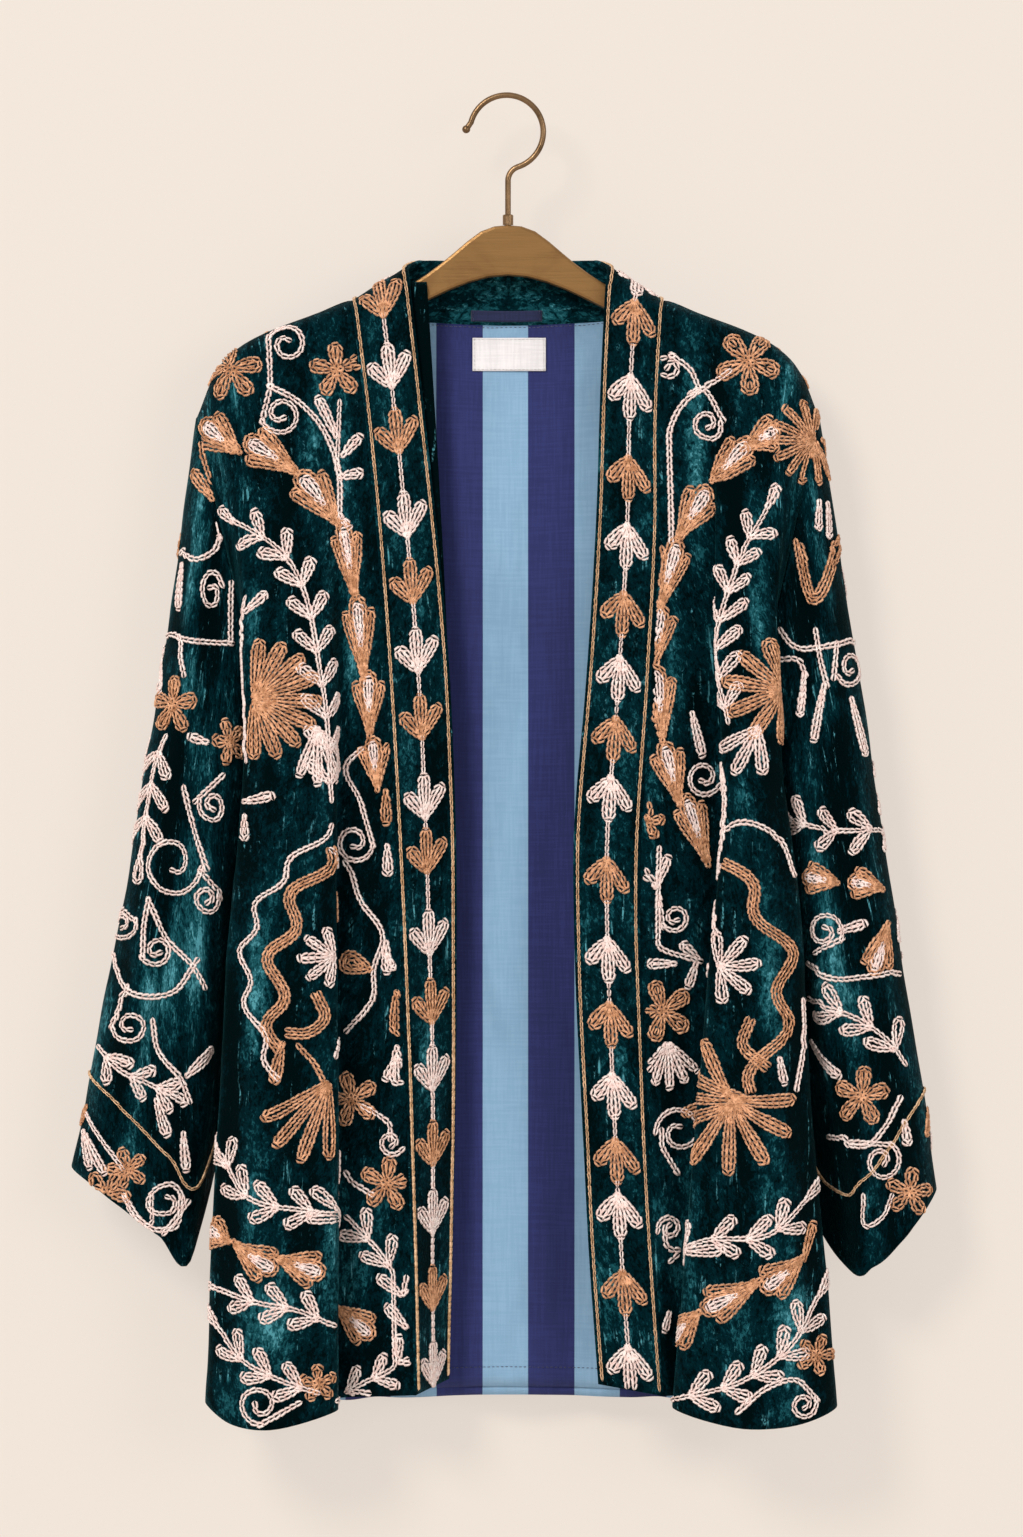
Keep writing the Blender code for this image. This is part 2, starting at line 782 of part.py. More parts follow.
def build():
    clear_scene()
    jacket = bpy.data.collections.new("kimono_jacket")
    bpy.context.scene.collection.children.link(jacket)
    velvet = material("velvet", VELVET)
    band_velvet = material("band_velvet", BAND_VELVET)
    lining = material("lining", LINING)
    label_cloth = material("label_cloth", LABEL_CLOTH)
    brass = material("brass", BRASS)
    dark_brass = material("dark_brass", DARK_BRASS)

    rows = range(PANEL_ROWS + 1)
    columns = np.linspace(0, BACK_SPANS, BACK_COLUMNS_A_SPAN * BACK_SPANS + 1)
    back = np.array([across(back_section(row), columns) for row in rows])
    cloth("back", back, VELVET_WALL, velvet, jacket)
    for side, word in ((LEFT, "left"), (RIGHT, "right")):
        spans = len(FRONT_LINES[side])
        places = np.linspace(0, spans, FRONT_COLUMNS_A_SPAN * spans + 1)
        front = [across(front_section(side, row), places) for row in rows]
        cloth(f"front_{word}", np.array(front), VELVET_WALL, velvet, jacket)
        alongs = np.linspace(0, 1, SLEEVE_ROWS + 1)
        sleeve = [sleeve_ring(side, along, sleeve_shares(along)) for along in alongs]
        cloth(f"sleeve_{word}", np.array(sleeve), VELVET_WALL, velvet, jacket, closed=True)
        cloth(f"band_{word}", band_grid(side), BAND_WALL, band_velvet, jacket)
    cloth("lining_back", lining_grid(), LINING_WALL, lining, jacket)
    cloth("label", patch_on_lining(LABEL_CENTRE, LABEL_SIZE, 6, 3), TRIM_WALL, label_cloth, jacket)
    cloth("hanging_loop", loop_grid(), TRIM_WALL, lining, jacket)
    board(brass, jacket)
    hook(dark_brass, jacket)
    ferrule(dark_brass, jacket)


build()
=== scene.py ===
# %% [markdown]
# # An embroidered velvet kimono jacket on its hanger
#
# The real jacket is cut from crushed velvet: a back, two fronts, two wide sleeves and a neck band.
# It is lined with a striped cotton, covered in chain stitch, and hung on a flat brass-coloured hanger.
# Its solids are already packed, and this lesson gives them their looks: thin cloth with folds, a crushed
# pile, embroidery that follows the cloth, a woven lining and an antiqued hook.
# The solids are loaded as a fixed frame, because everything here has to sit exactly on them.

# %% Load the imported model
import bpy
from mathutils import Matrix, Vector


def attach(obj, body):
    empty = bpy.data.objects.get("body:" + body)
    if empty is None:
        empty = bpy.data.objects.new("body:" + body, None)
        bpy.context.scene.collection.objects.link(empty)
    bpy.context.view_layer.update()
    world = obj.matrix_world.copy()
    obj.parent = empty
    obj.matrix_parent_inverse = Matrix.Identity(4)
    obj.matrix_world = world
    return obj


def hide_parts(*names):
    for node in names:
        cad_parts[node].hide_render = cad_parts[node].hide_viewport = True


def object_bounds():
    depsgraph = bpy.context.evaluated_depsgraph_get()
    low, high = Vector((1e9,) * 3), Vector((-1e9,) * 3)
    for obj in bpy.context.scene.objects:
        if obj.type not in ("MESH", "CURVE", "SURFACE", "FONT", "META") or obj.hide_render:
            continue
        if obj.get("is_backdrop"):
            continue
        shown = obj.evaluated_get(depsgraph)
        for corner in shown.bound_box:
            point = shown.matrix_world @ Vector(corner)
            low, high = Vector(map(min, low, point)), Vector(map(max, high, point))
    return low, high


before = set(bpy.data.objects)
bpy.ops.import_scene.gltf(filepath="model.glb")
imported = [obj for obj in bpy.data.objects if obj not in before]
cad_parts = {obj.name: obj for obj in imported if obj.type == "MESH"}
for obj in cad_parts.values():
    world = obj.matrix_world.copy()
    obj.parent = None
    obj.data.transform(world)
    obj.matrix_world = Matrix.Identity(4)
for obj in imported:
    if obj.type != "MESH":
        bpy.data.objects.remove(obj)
cad_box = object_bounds()
print("nodes:", ", ".join(sorted(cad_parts)))

# %% Tools and words for the whole lesson
from math import atan2, cos, pi, radians, sin, sqrt

import bmesh
import bpy
import numpy as np

MM = 0.001
LEFT, RIGHT = 1, -1
FRONT_FACE, BACK_FACE = -1, 1
PINK, COPPER, STRAW = "pink", "copper", "straw"
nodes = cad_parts

# %% [markdown]
# ## Where the camera stands
#
# The jacket is seen straight from the front, from far away, so that nothing in it looks stretched.
# A camera could be aimed with a constraint. Here it is set square to the wall from measured numbers,
# because a front view of clothing needs true uprights.

# %% The camera
CAMERA_DISTANCE = 5.0
FIELD_HEIGHT = 1.0452
FIELD_CENTRE = (0.00238, -0.4559)
SENSOR_HEIGHT = 36.0

lens = bpy.data.cameras.new("camera")
lens.sensor_fit = "VERTICAL"
lens.sensor_height = SENSOR_HEIGHT
lens.lens = SENSOR_HEIGHT * CAMERA_DISTANCE / FIELD_HEIGHT
lens.clip_end = 30
camera = bpy.data.objects.new("camera", lens)
camera.location = (FIELD_CENTRE[0], -CAMERA_DISTANCE, FIELD_CENTRE[1])
camera.rotation_euler = (pi / 2, 0, 0)
bpy.context.scene.collection.objects.link(camera)
bpy.context.scene.camera = camera
print(f"lens {lens.lens:.1f} mm")

# %% [markdown]
# ## The shape that the cloth hangs in
#
# Each panel hangs along a few lines that run down from the shoulder: seams, fold crests and troughs.
# These are the same lines that the solids were lofted through, so finer cloth built on them lies on its
# solid everywhere. The numbers are millimetres out from the middle, forward or back, and up.
# A simulation would drift away from the solids, and these lines give the same folds every time.

# %% The lines of the body panels
# Walls and clearances of the cloth
VELVET_WALL = 2.0
BAND_WALL = 2.4
LINING_WALL = 1.0
TRIM_WALL = 1.0
SEAM_GAP = 0.4
BAND_GAP = -0.6
LAYER_GAP = 0.5

# Rows of a body panel, counted from the shoulder: short steps over the hanger, then even ones to the hem
SHOULDER_DROPS = [0, 1, 3, 6.5, 12, 25, 50]
EVEN_ROWS = 14
SHOULDER_ROWS = len(SHOULDER_DROPS) - 1
PANEL_ROWS = SHOULDER_ROWS + EVEN_ROWS
UNDERARM_ROW = 9
SHOULDER_ROUND = 12.0

# The armhole leans in from the shoulder point to the underarm
SHOULDER_POINT = (211.0, -218.0)
HEM_HEIGHT = -882.0
ARMHOLE_LEAN = 41.0
ARMHOLE_DEPTH = 17.0
UNDERARM_GAP = 1.8
EDGE_LENGTH = SHOULDER_POINT[1] - HEM_HEIGHT
EDGE_ROW_STEP = (EDGE_LENGTH - SHOULDER_DROPS[-1]) / EVEN_ROWS
UNDERARM_DROP = SHOULDER_DROPS[-1] + EDGE_ROW_STEP * (UNDERARM_ROW - SHOULDER_ROWS)

# Top edge of the shoulders: distance out from the centre, height
SHOULDER = [(106, -138.6), (142, -152), (174, -165.6), (193, -180), (205, -200), (211, -218)]

# Lines that the cloth of each front follows down from the shoulder to the hem.
# A fold is a line at its crest or in its trough: height, out, depth.
FRONT_LINES = {
    LEFT: {
        "seam": [(-138.6, 106, -13), (-222, 102, -16), (-287, 102, -18), (-398, 96.5, -22),
            (-520, 89, -26), (-654, 92, -28), (-745, 96, -30), (-880, 105, -32)],
        "valley": [(-148, 131, -13), (-267, 139, -14), (-360, 146, -12), (-480, 151, -12),
            (-613, 144, -12), (-738, 137, -12), (-880, 130, -12)],
        "fold": [(-155, 150, -13), (-267, 143, -19), (-360, 142, -29), (-480, 145, -37),
            (-613, 134.5, -42), (-738, 125.5, -44), (-887, 112, -45)],
        "crest": [(-162, 167, -13), (-279, 160, -22), (-409, 163, -38), (-613, 160, -52),
            (-760, 158, -55), (-900, 158, -56)],
        "outer": [(-171, 183, -13), (-279, 175, -25), (-409, 176, -38), (-613, 184, -48),
            (-760, 191, -52), (-897, 198, -52)],
        "ridge": [(-183, 196, -13), (-225, 187, -22), (-287, 184, -28), (-450, 186.5, -32),
            (-562, 197, -35), (-675, 204.5, -37), (-805, 215.5, -38), (-887, 221, -38)],
    },
    RIGHT: {
        "seam": [(-138.6, 106, -13), (-200, 98.5, -15), (-279, 90.5, -18), (-375, 83, -22),
            (-488, 76.5, -25), (-613, 71, -28), (-760, 66, -32), (-879, 63, -36)],
        "valley": [(-148, 127, -13), (-279, 113, -13), (-409, 112, -12), (-540, 119, -12),
            (-700, 122, -12), (-884, 122, -12)],
        "fold": [(-154, 146, -13), (-279, 129, -19), (-409, 121, -30), (-540, 117.5, -37),
            (-700, 117, -41), (-889, 117, -43)],
        "crest": [(-162, 165, -13), (-279, 150, -24), (-409, 146, -38), (-613, 150, -50),
            (-760, 157, -54), (-901, 160, -55)],
        "outer": [(-171, 182, -13), (-279, 169, -26), (-409, 165, -38), (-613, 176, -46),
            (-760, 183, -50), (-897, 187, -50)],
        "ridge": [(-183, 195, -13), (-225, 187, -22), (-322, 179, -30), (-422, 178, -31),
            (-513, 183, -33), (-600, 190, -35), (-719, 197.5, -37), (-884, 202.5, -38)],
    },
}

# Side seams below the underarm: height, out, depth
SIDE_SEAMS = {
    LEFT: [(-401, 171, 0), (-450, 173, 1), (-506, 181, 2), (-617, 189, 2), (-748, 196, 2), (-882, 208, 2)],
    RIGHT: [(-401, 171, 0), (-450, 168, 1), (-513, 171, 2), (-600, 178, 2), (-719, 186, 2), (-882, 191, 2)],
}

# Lines of each half of the back, from the side to the middle: height, out, depth
BACK_LINES = {
    LEFT: {
        "ridge": [(-183, 196, 13), (-225, 186, 18), (-322, 178, 21), (-450, 179, 21), (-562, 190, 23),
            (-675, 198, 25), (-805, 208, 27), (-886, 213, 28)],
        "trough": [(-165, 172, 13), (-279, 154, 16), (-450, 148, 15), (-650, 158, 13), (-884, 168, 14)],
        "yoke": [(-147.5, 130, 13), (-279, 136, 17), (-450, 131, 18), (-650, 138, 20), (-886, 145, 23)],
        "crest": [(-138.6, 106, 13), (-279, 116, 18), (-450, 112, 20), (-650, 118, 27), (-888, 122, 32)],
        "corner": [(-143, 98, 10.5), (-279, 99, 17.5), (-450, 96, 19), (-650, 100, 22), (-885, 103, 25)],
        "hollow": [(-149, 80, 14.5), (-279, 82, 16.5), (-450, 80, 17), (-650, 82, 17), (-885, 84, 18)],
        "pleat": [(-152, 42, 16.2), (-279, 42, 17), (-450, 44, 18), (-650, 45, 20), (-884, 47, 22)],
    },
    RIGHT: {
        "ridge": [(-183, 195, 13), (-225, 186, 18), (-322, 176, 21), (-422, 173, 21), (-513, 177, 22),
            (-600, 184, 24), (-719, 191, 26), (-886, 197, 28)],
        "trough": [(-165, 172, 13), (-279, 150, 16), (-450, 138, 14), (-650, 144, 12), (-884, 150, 13)],
        "yoke": [(-147.5, 130, 13), (-279, 132, 17), (-450, 121, 17), (-650, 124, 19), (-886, 128, 22)],
        "crest": [(-138.6, 106, 13), (-279, 112, 18), (-450, 104, 21), (-650, 106, 28), (-888, 108, 33)],
        "corner": [(-143, 98, 10.5), (-279, 95, 17.5), (-450, 89, 19), (-650, 89, 21), (-885, 90, 24)],
        "hollow": [(-149, 80, 14.5), (-279, 78, 16.5), (-450, 74, 16), (-650, 72, 15), (-885, 72, 16)],
        "pleat": [(-152, 42, 16.2), (-279, 40, 17), (-450, 38, 18.5), (-650, 36, 21), (-884, 36, 23)],
    },
}
CENTRE_BACK = [(-153.5, 0, 16.5), (-279, 0, 16.5), (-450, 0, 16), (-650, 0, 16), (-883, 0, 17)]
NECK_LINES = ("corner", "hollow", "pleat")
SHOULDER_CREST = 4
CENTRE_PLACE = 8
BACK_SPANS = 2 * CENTRE_PLACE

# %% The lines of the neck band
# Free edge of each half of the band, up the front to the shoulder: height, out, depth
BAND_EDGE = {
    LEFT: [(-872, 61, -30), (-788, 55, -28), (-710, 51, -27), (-575, 45, -24), (-506, 44.5, -22),
        (-398, 53, -15), (-287, 60, -10), (-194, 63, -11), (-130, 66, -11.5)],
    RIGHT: [(-871, 41, 3), (-739, 37.5, 0), (-600, 35.5, -4), (-488, 36, -8), (-375, 41, -11),
        (-279, 50, -8), (-194, 59, -9), (-130, 66, -11.5)],
}
# Free edge of the band round the neck: place, out, depth, height. The band leaves the front at place 1,
# crosses the shoulder at place 2 and then follows the back's neck, a place for each of the back's lines.
BAND_NECK_EDGE = [(1.5, 67.5, -6.5, -120), (2, 67.5, -0.5, -115.5), (3, 61, 12, -110.5),
    (4, 54, 15, -109.5), (5, 30, 17, -110), (6, 0, 17.5, -110.5)]
NECK_PLACE = 2
BAND_TOP_DROP = 6.0
BAND_FRONT_SHARE = 0.86

# %% The lines of the sleeves
# Lines round each sleeve: share of the way from the top fold to the underarm, which face of the sleeve,
# then the line's place at the cuff, and how far it bows out and swells in depth half way down.
SLEEVE_LINES = {
    LEFT: [
        # share, face, out, depth, height, bow, swell
        (0.00, FRONT_FACE, 290.5, 0, -741, 0, 0),
        (0.22, FRONT_FACE, 278.0, -19, -762, 0, -3),
        (0.45, FRONT_FACE, 262.0, -16, -782, 0, -1),
        (0.68, FRONT_FACE, 247.0, -20, -794, 0, -4),
        (0.90, FRONT_FACE, 234.0, -9, -798, 0, 0),
        (1.00, FRONT_FACE, 222.0, 6, -786, 0, 3),
        (0.88, BACK_FACE, 212.0, 20, -768, 0, 0),
        (0.52, BACK_FACE, 244.0, 25, -764, 0, 2),
        (0.20, BACK_FACE, 277.0, 18, -748, 0, 1),
    ],
    RIGHT: [(0.00, FRONT_FACE, 295.5, 0, -726, -5, 0), (0.22, FRONT_FACE, 278.0, -20, -741, -4, -5),
        (0.45, FRONT_FACE, 258.0, -15, -757, -2, -1), (0.68, FRONT_FACE, 236.0, -20, -773, 0, -3),
        (0.90, FRONT_FACE, 215.0, -8, -788, 0, 0), (1.00, FRONT_FACE, 205.0, 8, -750, 0, 3),
        (0.88, BACK_FACE, 199.0, 20, -712, 0, 0), (0.52, BACK_FACE, 242.0, 25, -722, -2, 2),
        (0.20, BACK_FACE, 276.0, 18, -724, -4, 1)],
}
CAP_SHARE = 0.2

# %% The small cloth pieces and the hook's bends
# Lining, label and hanging loop on the inside of the back
LINING_SPANS = (1.5, 14.5)
LINING_TOP_ROW = 1.2
LINING_SHOULDER_ROW = 4.8
LINING_HEM_TURN = 0.12
LABEL_SIZE = (50.0, 22.6)
LABEL_CENTRE = (0.8, -173.6)
LOOP_SIZE = (48.0, 7.5)
LOOP_CENTRE = (-1.0, -143.5)
LOOP_STAND = 2.6
LOOP_RISE = 0.25

# Hook: a round bend over the rail, then a small elbow into the stem
WIRE = 4.0
HOOK_RADIUS = 25.0
HOOK_CENTRE = (-1.0, -23.0)
HOOK_START = 165
HOOK_TIP = (-28.4, -21.2)
ELBOW_RADIUS = 10.0
BALL = 5.6
HOOK_FOOT = -86.7

# %% [markdown]
# ## From lines to smooth cloth
#
# A row of the cloth is a smooth curve through one point of each line. It is worked out for whole arrays
# at once, because a panel has thousands of points. The rows near the top are close together, as the
# cloth bends over the hanger there.

# %% Curves through the lines
def smooth(keys, values, at):
    """Curve through values at rising keys, at one place or many; slopes come from the neighbours."""
    keys, values, at = np.asarray(keys, float), np.asarray(values, float), np.asarray(at, float)
    slopes = np.gradient(values, keys, axis=0)
    i = np.clip(np.searchsorted(keys, at, side="right") - 1, 0, len(keys) - 2)
    span = keys[i + 1] - keys[i]
    t = (at - keys[i]) / span
    if values.ndim > 1:
        span, t = span[..., None], t[..., None]
    start = (1 + 2 * t) * (1 - t) ** 2 * values[i] + t * (1 - t) ** 2 * span * slopes[i]
    end = t * t * (3 - 2 * t) * values[i + 1] + t * t * (t - 1) * span * slopes[i + 1]
    return start + end


def unit(way):
    """The same direction, one long."""
    return way / np.linalg.norm(way)


def shoulder_height(out):
    return smooth(*zip(*SHOULDER), out)


def along_line(rows, height):
    """Out and depth of a line at a height, whichever way its rows run."""
    heights, out, depth = np.array(rows, float).T
    way = 1 if heights[-1] > heights[0] else -1
    return smooth(way * heights, np.stack([out, depth], 1), way * height)


def drop_at(row, length):
    """How far below its top a line is at this row of the panel."""
    if row <= SHOULDER_ROWS:
        return float(np.interp(row, range(SHOULDER_ROWS + 1), SHOULDER_DROPS))
    return SHOULDER_DROPS[-1] + (length - SHOULDER_DROPS[-1]) * (row - SHOULDER_ROWS) / EVEN_ROWS


def line_point(side, rows, row, over_shoulder=True):
    """Point of a line of cloth. Over the shoulder it starts at the seam and rounds off the hanger."""
    start, out = rows[0][:2]
    top = shoulder_height(out) if over_shoulder else start
    drop = drop_at(row, top - rows[-1][0])
    height = top - drop
    x, y = along_line(rows, min(height, start))
    if over_shoulder and drop < SHOULDER_ROUND:
        y *= sqrt(1 - (1 - drop / SHOULDER_ROUND) ** 2)
    return np.array([side * x, y, height])


def armhole_point(side, share, face):
    """Point of the armhole seam, share of the way from the shoulder point to the underarm."""
    out, height = SHOULDER_POINT
    depth = face * ARMHOLE_DEPTH * 2 * sqrt(max(share * (1 - share), 0))
    return np.array([side * (out - ARMHOLE_LEAN * share), depth, height - UNDERARM_DROP * share])


def edge_point(side, face, row):
    """Point of a body panel's outer edge: the armhole, and below it the side seam."""
    drop = drop_at(row, EDGE_LENGTH)
    if drop <= UNDERARM_DROP:
        point = armhole_point(side, drop / UNDERARM_DROP, face)
    else:
        height = SHOULDER_POINT[1] - drop
        x, y = along_line(SIDE_SEAMS[side], height)
        point = np.array([side * x, y, height])
    return point + np.array([-side, face, 0]) * SEAM_GAP / 2


def across(points, at):
    """Points of the smooth section through a row's points, at places counted in spans."""
    points = np.asarray(points)
    steps = np.sqrt(np.linalg.norm(np.diff(points, axis=0), axis=1))
    keys = np.concatenate([[0], np.cumsum(steps)])
    places = np.interp(at, range(len(keys)), keys)
    return smooth(keys, points, places)


def front_section(side, row):
    points = [line_point(side, rows, row) for rows in FRONT_LINES[side].values()]
    points[0][0] += side * SEAM_GAP / 2
    for point in points:
        point[1] -= SEAM_GAP / 2 if row == 0 else 0
    return points + [edge_point(side, FRONT_FACE, row)]


def back_section(row):
    halves = {}
    for side in (LEFT, RIGHT):
        points = [edge_point(side, BACK_FACE, row)]
        for name, rows in BACK_LINES[side].items():
            points.append(line_point(side, rows, row, over_shoulder=name not in NECK_LINES))
        for point in points[1 : SHOULDER_CREST + 1]:
            point[1] += SEAM_GAP / 2 if row == 0 else 0
        halves[side] = points
    centre = line_point(LEFT, CENTRE_BACK, row, over_shoulder=False)
    return halves[LEFT] + [centre] + halves[RIGHT][::-1]


def sleeve_ring(side, along, shares):
    """Points round the sleeve at this share of its length. Shares run 0 to 1 down the front, 1 to 2 up."""
    table = SLEEVE_LINES[side]
    lines, keys = [], []
    for share, face, out, depth, height, bow, swell in table:
        start = armhole_point(side, share, face)
        point = start + (np.array([side * out, depth, height]) - start) * along
        point += np.array([side * bow, swell, 0]) * 4 * along * (1 - along)
        lines.append(point)
        keys.append(share if face == FRONT_FACE else 2 - share)
    keys = np.concatenate([np.array(keys[-2:]) - 2, keys, np.array(keys[:3]) + 2])
    lines = np.array(lines[-2:] + lines + lines[:3])
    blend = min(along / CAP_SHARE, 1)
    blend = blend * blend * (3 - 2 * blend)
    ring = []
    for share in shares:
        face = FRONT_FACE if share <= 1 else BACK_FACE
        seam = armhole_point(side, share if share <= 1 else 2 - share, face)
        ring.append(seam + (smooth(keys, lines, share) - seam) * blend)
    ring = np.array(ring)
    down = 1 - np.abs(1 - np.asarray(shares))
    ring[:, 0] += side * (SEAM_GAP / 2 + UNDERARM_GAP * down) * (1 - blend)
    return ring


def neck_point(side, place):
    """Point of the band's seam on the back's neck edge, just above it."""
    span = SHOULDER_CREST + place - NECK_PLACE
    point = across(back_section(0), [span if side == LEFT else BACK_SPANS - span])[0]
    return point + np.array([0, 0, SEAM_GAP / 2])


def band_edges(side, along):
    """Seam and free edge of the band: along runs 0 to 1 up the front, and 1 to 6 round the neck."""
    front_seam = FRONT_LINES[side]["seam"]
    if along <= 1:
        edges = []
        for rows, drop in ((front_seam[::-1], BAND_TOP_DROP), (BAND_EDGE[side], 0)):
            height = rows[0][0] + (rows[-1][0] - drop - rows[0][0]) * along
            x, y = along_line(rows, height)
            edges.append(np.array([side * x, y, height]))
        return edges
    seam_front, free_front = band_edges(side, 1)
    if along < NECK_PLACE:
        turn = [seam_front, line_point(side, front_seam, 2), neck_point(side, NECK_PLACE)]
        seam = smooth([1, (1 + NECK_PLACE) / 2, NECK_PLACE], turn, along)
    else:
        seam = neck_point(side, along)
    keys = [1] + [row[0] for row in BAND_NECK_EDGE]
    frees = [free_front] + [np.array([side * out, y, z]) for _, out, y, z in BAND_NECK_EDGE]
    return seam, smooth(keys, frees, along)


def band_grid(side, rows, columns):
    """Rows of points across the band, a little clear of the panels it is sewn to and of its other half."""
    front_rows = int(rows * BAND_FRONT_SHARE)
    alongs = list(np.linspace(0, 1, front_rows + 1)[:-1])
    alongs += list(np.linspace(1, BAND_NECK_EDGE[-1][0], rows - front_rows + 1))
    grid = []
    for along in alongs:
        seam, free = band_edges(side, along)
        seam = seam + unit(free - seam) * BAND_GAP
        grid.append([seam + (free - seam) * share for share in np.linspace(0, 1, columns + 1)])
    return np.array(grid)


def surface_normals(grid, closed=False):
    """Unit normals of a grid of points, from its neighbours along and across."""
    down = np.gradient(grid, axis=0)
    if closed:
        over = (np.roll(grid, -1, axis=1) - np.roll(grid, 1, axis=1)) / 2
    else:
        over = np.gradient(grid, axis=1)
    normals = np.cross(down, over)
    return normals / np.linalg.norm(normals, axis=2, keepdims=True)


print("shoulder height 150 mm out:", round(float(shoulder_height(150)), 1))

# %% [markdown]
# ## Fine cloth
#
# Every panel becomes a fine grid of points, about five millimetres apart, with a normal at each.
# The grid is kept as a chart too: how far a point is across and down the cloth. The embroidery is laid
# out on that chart later, as a maker would draw it on flat velvet before sewing the jacket up.

# %% Panels as fine grids
SHOULDER_FINE, BODY_FINE = 24, 126
BACK_FINE, FRONT_FINE = 96, 48
SLEEVE_ALONG_FINE, SLEEVE_ROUND_FINE = 118, 72
BAND_ALONG_FINE, BAND_ACROSS_FINE = 158, 12

shoulder_rows = np.linspace(0, SHOULDER_ROWS, SHOULDER_FINE + 1)
body_rows = np.linspace(SHOULDER_ROWS, PANEL_ROWS, BODY_FINE + 1)[1:]
fine_rows = np.concatenate([shoulder_rows, body_rows])

panels = {}


def add_panel(name, grid, wall, out, closed=False):
    """Keep a panel's points, with its normals turned the way that out says is outwards."""
    normals = surface_normals(grid, closed)
    if (normals * out).sum() < 0:
        normals = -normals
    panels[name] = {"name": name, "points": grid, "normals": normals, "wall": wall, "closed": closed}


back_places = np.linspace(0, BACK_SPANS, BACK_FINE + 1)
grid = np.array([across(back_section(row), back_places) for row in fine_rows])
add_panel("back", grid, VELVET_WALL, np.array([0, 1, 0]))
for side, word in ((LEFT, "left"), (RIGHT, "right")):
    places = np.linspace(0, len(FRONT_LINES[side]), FRONT_FINE + 1)
    grid = np.array([across(front_section(side, row), places) for row in fine_rows])
    add_panel(f"front_{word}", grid, VELVET_WALL, np.array([0, -1, 0]))

    shares = np.linspace(0, 2, SLEEVE_ROUND_FINE + 1)[:-1]
    grid = np.array([sleeve_ring(side, along, shares) for along in np.linspace(0, 1, SLEEVE_ALONG_FINE)])
    add_panel(f"sleeve_{word}", grid, VELVET_WALL, grid - grid.mean(1, keepdims=True), closed=True)

    grid = band_grid(side, BAND_ALONG_FINE, BAND_ACROSS_FINE)
    out = np.zeros_like(grid)
    out[: BAND_ALONG_FINE // 2, :, 1] = -1
    add_panel(f"band_{word}", grid, BAND_WALL, out)
for panel in panels.values():
    print(panel["name"], "grid", panel["points"].shape[:2])
